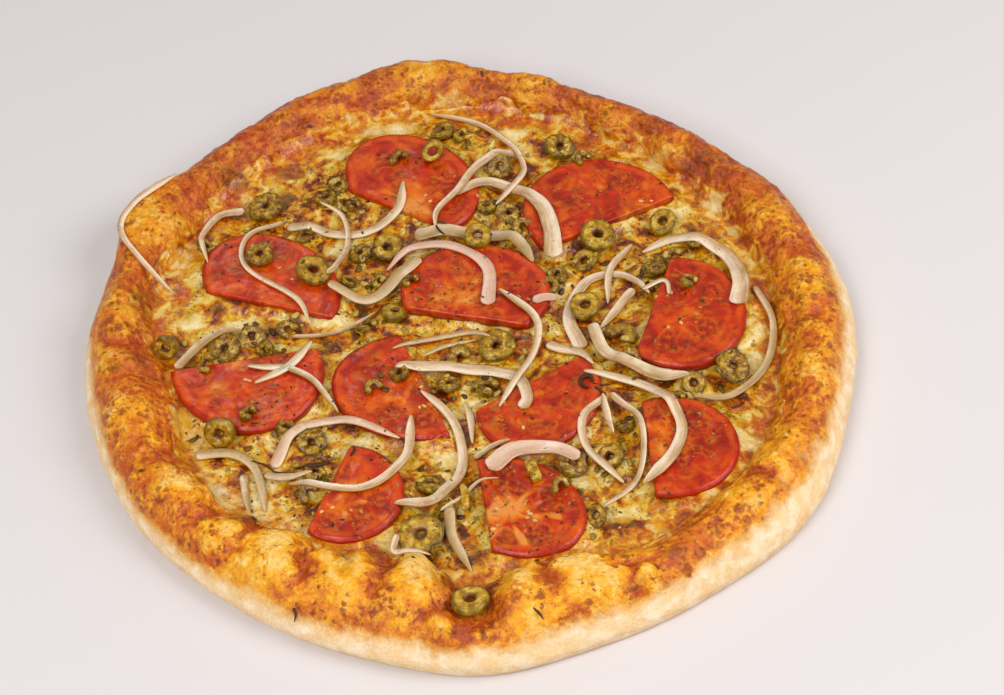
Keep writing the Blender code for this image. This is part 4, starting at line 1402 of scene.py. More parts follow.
@dataclass(frozen=True)
class CrumbFinish:
    """Dry or hard crumbs whose tone differs from one to the next."""

    name: str
    tones: Stops
    dullness: float

    def build(self) -> Material:
        """Wire the material.

        Returns:
            The material.
        """
        made, board, shader = start_finish(self.name, self.dullness, Specular_IOR_Level=0.35)
        place = board.place()
        tone = board.ragged(board.marked("tone"), board.noise(place, 0.7, 3.0), 0.7)
        board.dress(shader, board.ramp(tone, *self.tones), board.bump(board.noise(place, 0.5, 2.0), 0.5, 0.2))
        return made


SEED_FINISH = CrumbFinish("tomato seed", ((0.2, "a0642a"), (0.5, "c48a42"), (0.8, "dcb068")), 0.3)
BURNT_FINISH = CrumbFinish("burnt scraps", ((0.2, "2c1608"), (0.5, "4a2a10"), (0.7, "7a4c22")), 0.5)
BIT_FINISH = CrumbFinish(
    "olive bits", ((0.1, "4c2e0e"), (0.4, "7a5818"), (0.65, "a0822c"), (0.9, "c4a84e")), 0.35)
LEAF_FINISH = CrumbFinish(
    "dried leaf", ((0.1, "38260e"), (0.40, "60441c"), (0.70, "86622c"), (0.95, "b08c4a")), 0.7)


@dataclass(frozen=True)
class FloorFinish:
    """Plain pale paper under the pizza."""

    shade: str = "d8d3d4"
    cloud: str = "ccc5c6"

    def build(self) -> Material:
        """Wire the material.

        Returns:
            The material.
        """
        made, board, shader = start_finish("pale paper", 0.8, Specular_IOR_Level=0.2)
        clouds = board.noise(board.place(), 160.0, 2.0)
        board.feed(shader.inputs["Base Color"], board.over(paint(self.shade), clouds, 0.12, self.cloud))
        return made


# ---------------------------------------------------------------- the dough

def rim_edges(degrees: Array) -> tuple[Array, Array]:
    """Radius of the rim's inner and outer edge in given directions, in millimetres."""
    return swollen(CHEESE_RADIUS, INNER_BULGES, degrees), swollen(RIM_RADIUS, OUTER_BULGES, degrees)


def rim_form(degrees: Array, radius: Array) -> tuple[Array, Array]:
    """Height that the blisters and dents add at places on the rim.

    Args:
        degrees: directions.
        radius: distances from the middle, in millimetres.

    Returns:
        The height of the lobes alone, and with the unevenness of the dough.
    """
    lobes = np.zeros(degrees.shape)
    for centre, distance, along, across, rise in RIM_LOBES:
        side = np.radians(between(degrees, centre)) * distance
        lobes += rise * np.exp(-(side / along) ** 2 - ((radius - distance) / across) ** 2)
    turn = np.radians(degrees)
    place = np.stack((np.cos(turn) * radius, np.sin(turn) * radius, np.zeros(turn.shape)), 1)
    return lobes, lobes + 1.1 * rough(place, 13.0) + 0.5 * rough(place, 6.0)


def rim_folds(degrees: Array, radius: Array) -> tuple[Array, Array, Array]:
    """Creases where two swellings of the rim meet.

    Args:
        degrees: directions.
        radius: distances from the middle, in millimetres.

    Returns:
        How deep the crease is, how near the top of a swelling, and how far the swelling leans
        over the cheese, each about 0 to 1.
    """
    turn = np.radians(degrees)
    place = np.stack((np.cos(turn) * radius, np.sin(turn) * radius, np.zeros(turn.shape)), 1)
    bent, pushed = degrees + 2.2 * rough(place, 9.0, 3.0), radius + 4.0 * rough(place, 10.0, 8.0)
    first, second, lean = np.full(degrees.shape, 1e-6), np.full(degrees.shape, 1e-6), np.zeros(degrees.shape)
    for centre, distance, along, across, rise in RIM_LOBES:
        if rise < 1.2:
            continue
        side = np.radians(between(bent, centre)) * distance
        share = np.exp(-(side / (0.85 * along)) ** 2 - ((pushed - distance) / (1.3 * across)) ** 2)
        second = np.maximum(second, np.minimum(first, share))
        first = np.maximum(first, share)
        lean = np.maximum(lean, np.exp(-(side / (0.8 * along)) ** 2))
    fold = np.exp(-np.log(first / second) ** 2) * ease(second, 0.04, 0.25)
    return fold, ease(first, 0.35, 1.0), lean


def rim_height(across: Array) -> Array:
    """Height of the rim's upper side at shares of the way across, in millimetres."""
    top = RIM_SECTION[:10]
    return np.interp(across, [0.0] + [a for a, _ in top[1:]], [z for _, z in top])


@dataclass
class Crust:
    """Base and rim in one closed piece.

    flattened is the height above which swellings are pressed flatter, knob the height of the
    toasted bumps, and tear the direction, half width, rise and reach of the one sharp swelling.
    """

    finish: Material
    steps: int = 960
    rows: int = 92
    flattened: float = 24.0
    knob: float = 1.1
    tear: tuple[float, float, float, float] = (147, 9, 4.0, 2.2)

    def section(self) -> tuple[Array, Array, Array]:
        """Even steps along the rim's section, closer together on top.

        Returns:
            For each row the share across, the height and the way along from 0 to 1.
        """
        section = np.array(RIM_SECTION)
        line = smooth_line(section, section[0], section[-1], 16)
        hop = np.hypot(np.diff(line[:, 0]) * (RIM_RADIUS - CHEESE_RADIUS), np.diff(line[:, 1]))
        walked = np.concatenate(([0.0], np.cumsum(hop)))
        even = np.linspace(0, 1, self.rows) ** 1.12
        at = even * walked[-1]
        return np.interp(at, walked, line[:, 0]), np.interp(at, walked, line[:, 1]), even

    def build(self) -> Piece:
        """Wrap a grid round the section and push it to the hand-stretched form.

        Returns:
            The piece.
        """
        across, height, way = self.section()
        rows = self.rows + 4
        share = np.concatenate(([0.0, 0.9], np.ones(self.rows), [0.5, 0.0]))
        section = np.concatenate(([-1, -1], np.arange(self.rows), [-2, -2])).astype(int)
        piece, u, v = new_sheet("baked_crust", self.steps, rows - 1)
        degrees = u * 360.0
        row = np.rint(v * (rows - 1)).astype(int)
        inner, outer = rim_edges(degrees)
        on_rim = section[row] >= 0
        index = np.clip(section[row], 0, None)
        within = share[row] * np.where(section[row] == -1, inner, CHEESE_RADIUS)
        radius = np.where(on_rim, inner + across[index] * (outer - inner), within)
        z = np.where(on_rim, height[index], np.where(section[row] == -1, FLOOR_THICKNESS, 0.0))
        lobes, relief = rim_form(degrees, radius)
        fold, dome, lean = rim_folds(degrees, radius)
        puffy = swollen(0.42, ((245, 50, 0.75), (300, 14, 0.2), (50, 26, 0.15)), degrees)
        turn = np.radians(degrees)
        flat = np.stack((np.cos(turn) * radius, np.sin(turn) * radius, z), 1)
        weight = np.clip((z - 5.0) / 12.0, 0, 1)
        top = np.clip((z - 9.0) / 7.0, 0, 1) * on_rim
        curds = (0.75 * pebbled(flat, 5.2) + 0.35 * pebbled(flat + 40.0, 3.0) + 0.55 * rough(flat, 2.6)
                 + 1.0 * rough(flat, 7.0, 5.0))
        fold = fold * (1 - 0.85 * ease(across[index], 0.45, 0.80))
        z = z + np.where(on_rim, weight * relief, 0.0) + top * 1.0 * (curds - 0.68)
        z = z + top * puffy * (1.7 * dome - 2.8 * fold)
        shoulder = np.sin(math.pi * np.clip((way[index] - 0.45) / 0.4, 0, 1)) * on_rim
        towards, width, rise, reach = self.tear
        z = z + swollen(0.0, ((towards, width, rise),), degrees) * shoulder
        z = np.where(z > self.flattened, self.flattened + 0.5 * (z - self.flattened), z)
        radius = radius + swollen(0.0, ((towards, width, reach),), degrees) * shoulder
        wall = np.sin(math.pi * np.clip(way[index] / 0.36, 0, 1)) * on_rim
        hollow = 4.2 * puffy * (lean - 0.62) + 1.6 * rough(flat, 9.0, 4.0) + 0.8 * rough(flat, 4.0)
        radius = radius - wall * hollow
        side = np.clip((z - 1.0) / 4.0, 0, 1) * (way[index] > 0.5) * on_rim
        radius = radius + side * (0.55 * rough(flat, 9.0, 9.0) + 0.30 * rough(flat, 3.0))
        x, y = np.cos(turn) * radius, np.sin(turn) * radius
        toasted = spots(x, y, TOASTED_BUMPS) * on_rim
        z = z + self.knob * toasted * (z > 5.0)
        low, high = (np.array(corner) / MM for corner in CAD_BOX)
        write_points(piece, np.clip(np.stack((x, y, z), 1), low + 0.02, high - 0.3))
        # how high each spot of the rim stands; the finish paints the tops lighter and the creases darker as painted
        # highlight and shade, and strews more toasted specks in the creases
        lobe = 0.45 + (lobes - 1.6) / 10.0 + 0.28 * (curds - 0.60) + 0.3 * dome - 0.8 * fold * puffy
        mark(piece, lobe=np.clip(lobe, 0, 1))
        bare = ease(way[index], 0.52, 0.86) + swollen(0.0, BARE_DOUGH, degrees) * (way[index] > 0.45)
        mark(piece, bare=np.where(on_rim, bare, np.where(section[row] == -2, 1.2, 0.0)))
        mark(piece, toast=swollen(-0.02, TOAST, degrees))
        mark(piece, crease=np.where(on_rim, 1.0 - ease(way[index], 0.10, 0.30), 1.0))
        mark(piece, pool=spots(x, y, WHITE_POOLS) * (way[index] < 0.5))
        mark(piece, char=spots(x, y, DARK_MARKS) * (way[index] < 0.6))
        mark(piece, sauce=spots(x, y, SAUCE_MARKS) * (way[index] < 0.66))
        mark(piece, blister=spots(x, y, BLISTERS) * (way[index] < 0.6))
        mark(piece, toasted=toasted * (way[index] < 0.9))
        weld(piece)
        hand_over(piece, self.finish, "crust")
        return piece


# ---------------------------------------------------------------- the cheese

@dataclass
class Cheese:
    """The melted sheet inside the rim."""

    finish: Material
    cells: int = 222

    def build(self, toppings: Sequence[Array]) -> Piece:
        """Shape the sheet, risen round the toppings that press into it.

        Args:
            toppings: outlines of the tomatoes and rings, one row for each point.

        Returns:
            The piece.
        """
        piece, share, turn, above = new_slab("melted_cheese", self.cells)
        degrees = np.degrees(turn) % 360.0
        inner, outer = rim_edges(degrees)
        radius = share * (inner - 0.45) + 6.5 * ease(share, 0.93, 1.0)
        x, y = radius * np.cos(turn), radius * np.sin(turn)
        place = np.stack((x, y, np.zeros(x.shape)), 1)
        bottom = FLOOR_THICKNESS + DOUGH_GAP
        z = bottom + CHEESE_THICKNESS + 0.55 * rough(place, 24.0) + 0.35 * rough(place, 11.0)
        rim = np.clip((share - 0.86) / 0.14, 0, 1)
        z = z + 1.6 * rim
        far = self.distance(place, toppings)
        melt = (0.55 * pebbled(place, 7.0) + 0.30 * pebbled(place + 30.0, 3.6) + 0.35 * rough(place, 4.5)
                + 0.18 * rough(place, 2.2))
        hug = np.exp(-(far / 4.2) ** 2) * (0.75 + 0.5 * rough(place, 8.0))
        z = z + 0.95 * (melt - 0.42) * (1 - 0.5 * rim) + 3.6 * hug
        wall = rim_height((radius - inner) / (outer - inner))
        wall = wall + np.clip((wall - 5.0) / 12.0, 0, 1) * rim_form(degrees, radius)[1]
        climb = wall + 0.3 + 0.8 * rough(place, 6.0) - 1.4 * ease(share, 0.94, 1.0)
        z = np.maximum(z, np.where(share > 0.93, climb, 0.0))
        z = np.where(above, z, bottom)
        write_points(piece, np.stack((x, y, z), 1))
        mark(piece, pool=spots(x, y, WHITE_POOLS), sauce=spots(x, y, SAUCE_MARKS))
        mark(piece, blister=spots(x, y, BLISTERS))
        mark(piece, oil=np.exp(-(far / 3.5) ** 2), low=np.clip(0.5 + 0.9 * (0.42 - melt), 0, 1))
        mark(piece, edge=ease(share, 0.90, 1.0))
        pick(piece)
        bpy.ops.object.shade_smooth()
        hand_over(piece, self.finish, "cheese")
        return piece

    @staticmethod
    def distance(place: Array, outlines: Sequence[Array]) -> Array:
        """Distance from each place to the nearest outline point.

        Args:
            place: the places.
            outlines: rows of x, y.

        Returns:
            One distance for each place, in millimetres.
        """
        points = np.concatenate(outlines)
        tree = kdtree.KDTree(len(points))
        for k, (x, y) in enumerate(points):
            tree.insert((x, y, 0), k)
        tree.balance()
        return np.array([tree.find(p)[2] for p in place])


# ---------------------------------------------------------------- the tomatoes

@dataclass
class TomatoHalf:
    """One half slice, cut straight on one side and with its skin round the other."""

    cut: TomatoCut
    finish: Material
    cells: int = 68

    def outline(self) -> tuple[Array, Array]:
        """The half ellipse in the slice's own frame.

        Returns:
            The long and the deep place of each point, from one end of the cut to the other.
        """
        start = -math.asin(self.cut.centre / self.cut.half_deep)
        turn = np.linspace(start, math.pi - start, 90)
        deep = self.cut.centre + self.cut.half_deep * np.sin(turn)
        return self.cut.half_long * np.cos(turn) + self.cut.lean * deep, deep

    def placed(self, long: Array, deep: Array) -> tuple[Array, Array]:
        """Where a place of the slice's own frame is on the pizza.

        Args:
            long: along the cut.
            deep: away from the cut.

        Returns:
            x and y in millimetres.
        """
        heading = math.radians(self.cut.heading)
        side = self.cut.side * deep
        return (self.cut.x + long * math.cos(heading) - side * math.sin(heading),
                self.cut.y + long * math.sin(heading) + side * math.cos(heading))

    def edge_points(self) -> Array:
        """The outline on the pizza, closely spaced.

        Returns:
            Rows of x, y.
        """
        long, deep = self.outline()
        straight = np.linspace(0, 1, 45)
        long = np.concatenate((long, long[-1] + (long[0] - long[-1]) * straight))
        deep = np.concatenate((deep, np.zeros(45)))
        return np.stack(self.placed(long, deep), 1)

    def build(self) -> Piece:
        """Shape the slice with its skin, walls and seed pockets.

        Returns:
            The piece.
        """
        cut = self.cut
        piece, share, turn, above = new_slab(f"{cut.name}_slice", self.cells)
        long, deep = self.outline()
        middle = (0.5 * (long.max() + long.min()), 0.42 * deep.max())
        closed_long = np.concatenate((long, np.linspace(long[-1], long[0], 40)[1:-1]))
        closed_deep = np.concatenate((deep, np.zeros(38)))
        bearing = np.arctan2(closed_deep - middle[1], closed_long - middle[0]) % (2 * math.pi)
        reach = np.hypot(closed_deep - middle[1], closed_long - middle[0])
        order = np.argsort(bearing)
        edge = np.interp(turn % (2 * math.pi), bearing[order], reach[order], period=2 * math.pi)
        share = 1 - (1 - share) ** 1.35
        across = middle[0] + share * edge * np.cos(turn)
        down = middle[1] + share * edge * np.sin(turn)
        x, y = self.placed(across, down)
        place = np.stack((x, y, np.full(x.shape, 3.0 * len(cut.name))), 1)
        skin = np.sqrt(np.min((across[:, None] - long) ** 2 + (down[:, None] - deep) ** 2, axis=1))
        knife = np.maximum(down, 0.0)
        height = TOMATO_THICKNESS + 0.25 * rough(place, 15.0) - 0.1
        for far, size in ((skin, 2.2), (knife, 1.2)):
            short = np.clip(1 - far / size, 0, 1)
            height = height - size * (1 - np.sqrt(1 - short ** 2))
        core_x, core_y = cut.core
        out = np.hypot(x - core_x, y - core_y)
        angle = np.arctan2(y - core_y, x - core_x)
        reach_here = out + skin
        ratio = out / np.maximum(reach_here, 1.0)
        swirl = angle * cut.spokes / 2 + 0.8 * rough(place, 14.0) + cut.heading
        pocket = ease(np.abs(np.cos(swirl)), 0.35, 0.8) * ease(ratio, 0.26, 0.46) * ease(-ratio, -0.84, -0.68)
        pocket = pocket * ease(knife, 1.0, 3.0) * ease(rough(place, 7.0) + 0.6, 0.1, 0.6)
        height = height - 1.3 * cut.wet * pocket + 0.10 * ease(skin, 4.5, 1.5) * ease(skin, 0.4, 1.6)
        height = height + (0.30 * rough(place, 7.0) + 0.10 * rough(place, 2.8)) * ease(skin, 0.3, 2.0)
        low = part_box(cut.name)[0][2] / MM
        bottom = 0.5 * np.clip(1 - skin / 0.8, 0, 1) ** 2
        z = low + np.where(above, np.maximum(height, 1.2), bottom)
        write_points(piece, np.stack((x, y, z), 1))
        mark(piece, skin=np.where(above, skin, 0.0) / 10, pocket=pocket * min(1.0, cut.wet + 0.40))
        blotch = 0.75 + 0.9 * rough(place, 9.0, 6.0)
        walls = ease(-np.abs(np.cos(swirl)), -0.55, -0.15) * ease(ratio, 0.15, 0.35)
        walls = walls * ease(-ratio, -0.88, -0.70) * (0.6 + 0.8 * rough(place, 6.0))
        mark(piece, core=cut.glow * (np.exp(-(out / 15.0) ** 2) * blotch + 0.55 * walls))
        mark(piece, spoke=np.stack((np.cos(angle), np.sin(angle), 0.9 * ratio + 0.37 * len(cut.name)), 1))
        weld(piece, 0.005)
        hand_over(piece, self.finish, cut.name)
        return piece


@dataclass
class TomatoSeeds:
    """The few seeds that show in the wet pockets."""

    finish: Material
    length: float = 2.3
    width: float = 1.5
    height: float = 0.8

    def build(self, bed: Bed) -> Piece:
        """Model one seed, then lay copies in the pockets.

        Args:
            bed: what carries them.

        Returns:
            The piece with all of them.
        """
        clear_selection()
        bpy.ops.mesh.primitive_uv_sphere_add(segments=8, ring_count=6, radius=1.0, location=(0, 0, 0))
        seed = bpy.context.object
        points = read_points(seed)
        points[:, 0] = points[:, 0] * (1 + 0.25 * points[:, 0])
        points *= np.array((self.length, self.width, self.height)) / 2
        write_points(seed, points)
        draw = random.Random(5)
        placed, tones = [], []
        for cut in TOMATO_CUTS:
            wanted = round(1 + 16 * cut.wet)
            for _ in range(wanted):
                turn, far = draw.uniform(0, 2 * math.pi), draw.uniform(5, 12)
                x, y = cut.core[0] + far * math.cos(turn), cut.core[1] + far * math.sin(turn)
                height, slope = bed.touch(x, y)
                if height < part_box(cut.name)[0][2] / MM + 1.0:
                    continue
                heading = turn + draw.uniform(-0.5, 0.5)
                placed.append((x, y, height + 0.05, heading, slope, draw.uniform(0.7, 1.1)))
                tones.append(draw.random())
        return lay_copies(seed, "tomato_seeds", placed, tones, self.finish)


def lay_copies(model: Piece, name: str, placed: Sequence[Placed], tones: Sequence[float], finish: Material) -> Piece:
    """Join many copies of a small modelled piece into one mesh.

    Args:
        model: the one that was modelled; it is used up.
        name: the new piece's name.
        placed: x, y, z, turn, the slope it lies on and size of each copy, in millimetres.
        tones: how light each copy is, from 0 to 1.
        finish: its material.

    Returns:
        The piece with all copies.
    """
    points = read_points(model) / MM
    faces = [tuple(face.vertices) for face in model.data.polygons]
    all_points, all_faces, all_tones = [], [], []
    for k, (x, y, z, turn, slope, size) in enumerate(placed):
        lean = Vector((0, 0, 1)).rotation_difference(slope).to_matrix() @ Matrix.Rotation(turn, 3, "Z")
        all_points.append(points * size @ np.array(lean).T + np.array((x, y, z)))
        all_faces += [tuple(v + k * len(points) for v in face) for face in faces]
        all_tones += [tones[k]] * len(points)
    mesh = bpy.data.meshes.new(name)
    mesh.from_pydata((np.concatenate(all_points) * MM).tolist(), [], all_faces)
    bpy.data.objects.remove(model)
    piece = bpy.data.objects.new(name, mesh)
    bpy.context.scene.collection.objects.link(piece)
    mark(piece, tone=np.array(all_tones))
    pick(piece)
    bpy.ops.object.shade_smooth()
    hand_over(piece, finish)
    return piece


# ---------------------------------------------------------------- the onion

@dataclass
class Strip:
    """One strip: a limp band with rounded edges that curls a little across."""

    cut: StripCut
    finish: Material
    around: int = 16
    step: float = 1.1

    def route(self) -> Array:
        """Even steps along a smooth curve through the strip's own points.

        Returns:
            Rows of x, y in millimetres.
        """
        given = np.array(self.cut.route, dtype=float)
        line = smooth_line(given, 2 * given[0] - given[1], 2 * given[-1] - given[-2], 24)
        walked = np.concatenate(([0.0], np.cumsum(np.hypot(*np.diff(line, axis=0).T))))
        at = np.linspace(0, walked[-1], max(8, round(walked[-1] / self.step)) + 1)
        return np.stack((np.interp(at, walked, line[:, 0]), np.interp(at, walked, line[:, 1])), 1)

    def heights(self, route: Array, widths: Array, sideways: Array, bed: Bed,
                solid: Optional[BVHTree]) -> Array:
        """Height of the strip's middle along its route.

        Args:
            route: its steps.
            widths: its width at each.
            sideways: the direction across it at each.
            bed: what carries it.
            solid: the CAD strip that it stands for, or None.

        Returns:
            One height for each step, in millimetres.
        """
        floor = np.array([max(bed.top(*(p + s * w * side)) for side in (-0.5, 0.0, 0.5))
                          for p, s, w in zip(route, sideways, widths)]) + self.cut.thick / 2
        if solid is not None:
            found = []
            for x, y in route:
                hit = solid.ray_cast(Vector((x * MM, y * MM, ABOVE)), SIGHT)[0]
                found.append(hit.z / MM - STRIP_THICKNESS / 2 if hit is not None else np.nan)
            height = np.array(found)
            known = ~np.isnan(height)
            steps = np.arange(len(height))
            height = np.interp(steps, steps[known], height[known]) - 0.25
        else:
            height = floor + 0.1
            slope = 0.5 * self.step
            for k in range(1, len(height)):
                height[k] = max(height[k], height[k - 1] - slope)
            for k in range(len(height) - 2, -1, -1):
                height[k] = max(height[k], height[k + 1] - slope)
        for width in (5.0, 4.0, 3.0):
            height = soften(np.maximum(height, floor - 0.2), width)
        return height

    def shape(self, bed: Bed, solid: Optional[BVHTree]) -> Piece:
        """Wrap a grid round the route.

        Args:
            bed: what carries the strip.
            solid: the CAD strip that it stands for, or None.

        Returns:
            The strip, not yet handed over.
        """
        cut = self.cut
        route = self.route()
        count = len(route)
        way = np.linspace(0, 1, count)
        ahead = np.gradient(route, axis=0)
        ahead /= np.linalg.norm(ahead, axis=1)[:, None]
        sideways = np.stack((-ahead[:, 1], ahead[:, 0]), 1)
        seed = sum(abs(c) for point in cut.route for c in point) * 0.37
        line = np.stack((way * count * self.step, np.full(count, seed), np.zeros(count)), 1)
        widths = 1.18 * (cut.first + (cut.last - cut.first) * way) * (1 + 0.10 * rough(line, 12.0))
        length = count * self.step
        for end, pointed in ((way, cut.sharp & 1), (1 - way, cut.sharp & 2)):
            taper = min(0.45, (10.0 if pointed else 2.0) / length)
            widths *= np.clip(end / taper, 0, 1) ** (0.65 if pointed else 0.5) * 0.88 + 0.12
        height = self.heights(route, widths, sideways, bed, solid)
        piece, u, v = new_sheet(f"{cut.name}_strip", self.around, count - 1)
        row = np.rint(v * (count - 1)).astype(int)
        turn = u * 2 * math.pi
        wide, thick = squared(np.cos(turn), 0.55), squared(np.sin(turn), 0.7)
        closing = np.where((row == 0) | (row == count - 1), 0.0, 1.0)
        roll = 0.30 * rough(line, 22.0, 7.0)[row]
        half = widths[row] / 2 * closing
        thin = np.clip(0.45 + widths[row] / 6.0, 0.45, 1.0) if cut.thick == STRIP_THICKNESS else 1.0
        thin = cut.thick / 2 * thin * closing
        off, lift = wide * half, thick * thin + 0.12 * wide ** 2 * half
        off, lift = off * np.cos(roll) - lift * np.sin(roll) * 0.3, lift + off * np.sin(roll) * 0.55
        spot = route[row] + sideways[row] * off[:, None]
        ceiling = CAD_BOX[1][2] / MM - 0.05
        write_points(piece, np.column_stack((spot, np.minimum(height[row] + lift, ceiling))))
        # side runs from one edge to the other; the finish paints one edge paler as a painted highlight
        mark(piece, side=0.5 + 0.5 * wide * (1.0 if seed % 2.0 < 1.0 else -1.0))
        mark(piece, grain=np.stack((wide * 1.6 + seed, thick * 0.8, v * length / 26.0), 1))
        mark(piece, pink=np.full(len(u), cut.pink), clear=np.full(len(u), cut.clear))
        near, far = (np.clip(1 - from_end * length / 5.0, 0, 1) for from_end in (v, 1 - v))
        mark(piece, tip=np.maximum(near * (cut.sharp & 1), far * (cut.sharp >> 1)))
        mark(piece, tone=np.full(len(u), 0.4))
        weld(piece)
        return piece


def soften(values: Array, width: float) -> Array:
    """Smooth a row of values.

    Args:
        values: the row.
        width: how many steps are evened out.

    Returns:
        The smoothed row, as long as before.
    """
    reach = int(3 * width) + 1
    weights = np.exp(-(np.arange(-reach, reach + 1) / width) ** 2)
    padded = np.pad(values, reach, mode="edge")
    return np.convolve(padded, weights / weights.sum(), mode="valid")


def solid_tree(node: str) -> BVHTree:
    """The CAD node's mesh, ready for rays."""
    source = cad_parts[node]
    points = [Vector(p) for p in read_points(source)]
    return BVHTree.FromPolygons(points, [tuple(face.vertices) for face in source.data.polygons])


@dataclass
class Strips:
    """All strips of one kind, from the lowest to the topmost."""

    finish: Material

    def lay(self, cuts: Sequence[StripCut], bed: Bed) -> None:
        """Lay strips that stand for a node each.

        Args:
            cuts: the strips.
            bed: what carries them; they are added to it.
        """
        for cut in cuts:
            piece = Strip(cut, self.finish).shape(bed, solid_tree(cut.name))
            hand_over(piece, self.finish, cut.name)
            bed.add(piece)

    def lay_split(self, bed: Bed) -> None:
        """Lay the strip that is split into prongs.

        Args:
            bed: what carries it; it is added to it.
        """
        tree = solid_tree(PRONGS[0].name)
        piece = joined([Strip(cut, self.finish).shape(bed, tree) for cut in PRONGS], "onion_29_strip")
        hand_over(piece, self.finish, PRONGS[0].name)
        bed.add(piece)

    def lay_small(self, cuts: Sequence[StripCut], name: str, slot: Optional[Slot], bed: Bed) -> None:
        """Lay strips that have no node, joined in one piece.

        Args:
            cuts: the strips.
            name: the piece's name.
            slot: not used.
            bed: what carries them; they are added to it.
        """
        pieces = [Strip(cut, self.finish).shape(bed, None) for cut in cuts]
        piece = joined(pieces, name)
        hand_over(piece, self.finish)
        bed.add(piece)


# ---------------------------------------------------------------- the olives

@dataclass
class OliveRing:
    """A slice across a pitted olive, plump or shrunk by the oven."""

    cut: OliveCut
    around: int = 18
    steps: int = 44

    def shape(self, middle: float) -> Piece:
        """Wrap a grid into the ring and put it in its place.

        Args:
            middle: height of its centre, in millimetres.

        Returns:
            The ring, not yet handed over.
        """
        cut = self.cut
        steps = max(12, round(self.steps * cut.sweep / 360))
        piece, u, v = new_sheet(f"{cut.name}_ring", self.around, steps)
        angle, turn = v * math.radians(cut.sweep), u * 2 * math.pi
        dry = cut.flesh.value
        outer, hole = cut.diameter / 2, OLIVE_HOLE / 2 * (1 - 0.35 * dry)
        wall = (outer - hole) / 2
        wide, thick = squared(np.cos(turn), 0.6), squared(np.sin(turn), 0.6)
        if cut.sweep < 359:
            ends = np.minimum(v, 1 - v) * steps
            closing = np.sqrt(1 - np.clip(1 - ends / 2.0, 0, 1) ** 2)
            wide, thick = wide * closing, thick * closing
        radius = hole + wall + wide * wall
        up = thick * cut.thickness / 2
        draw = random.Random(cut.seed)
        stretch, heading = draw.uniform(0.0, 0.12), draw.uniform(0, math.pi)
        waver = 1 + stretch * np.cos(2 * (angle - heading))
        round_place = np.stack((np.cos(angle), np.sin(angle), np.full(len(angle), cut.seed * 3.7)), 1) * 1.6
        outside = ease(wide, -0.2, 0.9)
        waver = waver + outside * (0.08 + 0.05 * dry) * rough(round_place, 1.2)
        waver = waver + ease(-wide, 0.0, 0.9) * (0.10 + 0.35 * dry) * rough(round_place + 9.0, 0.8)
        radius = radius * waver
        flat = np.stack((radius * np.cos(angle), radius * np.sin(angle), up), 1)
        own = flat + np.array((cut.seed * 5.3, 0, cut.seed * 2.1))
        folds = rough(own, 2.6) + 0.6 * rough(own, 1.5)
        pinch = 1 - dry * 0.09 * outside * (0.5 + rough(round_place * 2.2, 1.0, 3.0))
        flat[:, :2] *= pinch[:, None]
        crumple = dry * 0.90 * folds * ease(np.abs(thick), 0.1, 0.8)
        dip = 0.35 * (1 - dry) * np.sign(up) * ease(wide, 0.2, -0.6) * 0.5
        flat[:, 2] = up * (1 - 0.12 * dry) + crumple - dip
        flat[:, :2] *= (1 + dry * 0.03 * folds)[:, None]
        axis = Vector((-math.sin(math.radians(cut.towards)), math.cos(math.radians(cut.towards)), 0))
        lean = Matrix.Rotation(math.radians(cut.tilt), 3, axis)
        if cut.seed < 60:
            lean = lean @ Matrix.Rotation(cut.seed * 1.3, 3, "Z")
        placed = flat @ np.array(lean).T
        write_points(piece, placed + np.array((cut.x, cut.y, middle)))
        # hole marks the ring's inner wall, which the finish darkens as painted shade
        mark(piece, rind=ease(wide, 0.1, 0.9), hole=ease(-wide, 0.35, 0.95), dry=np.full(len(u), dry))
        weld(piece)
        return piece


@dataclass
class Olives:
    """All olive rings."""

    finish: Material

    def lay(self, cuts: Sequence[OliveCut], bed: Bed) -> None:
        """Lay rings that stand for a node each, at the height of their solids.

        Args:
            cuts: the rings.
            bed: what is laid so far; they are added to it.
        """
        for cut in cuts:
            low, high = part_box(cut.name)
            piece = OliveRing(cut).shape((low[2] + high[2]) / 2 / MM)
            hand_over(piece, self.finish, cut.name)
            bed.add(piece)

    def lay_loose(self, cuts: Sequence[OliveCut], name: str, bed: Bed) -> None:
        """Lay rings that have no node of their own, joined in one piece.

        Args:
            cuts: the rings.
            name: the piece's name.
            bed: what carries them; they are added to it.
        """
        pieces = []
        for cut in cuts:
            reach = 0.3 * cut.diameter
            around = [bed.top(cut.x + reach * math.cos(a), cut.y + reach * math.sin(a))
                      for a in (0, 1.57, 3.14, 4.71)]
            lean = math.sin(math.radians(cut.tilt)) * cut.diameter / 2
            pieces.append(OliveRing(cut, 14, 32).shape(sum(around) / 4 + cut.lift + 0.55 * lean))
        piece = joined(pieces, name)
        hand_over(piece, self.finish)
        bed.add(piece)


# ---------------------------------------------------------------- crumbs and small marks

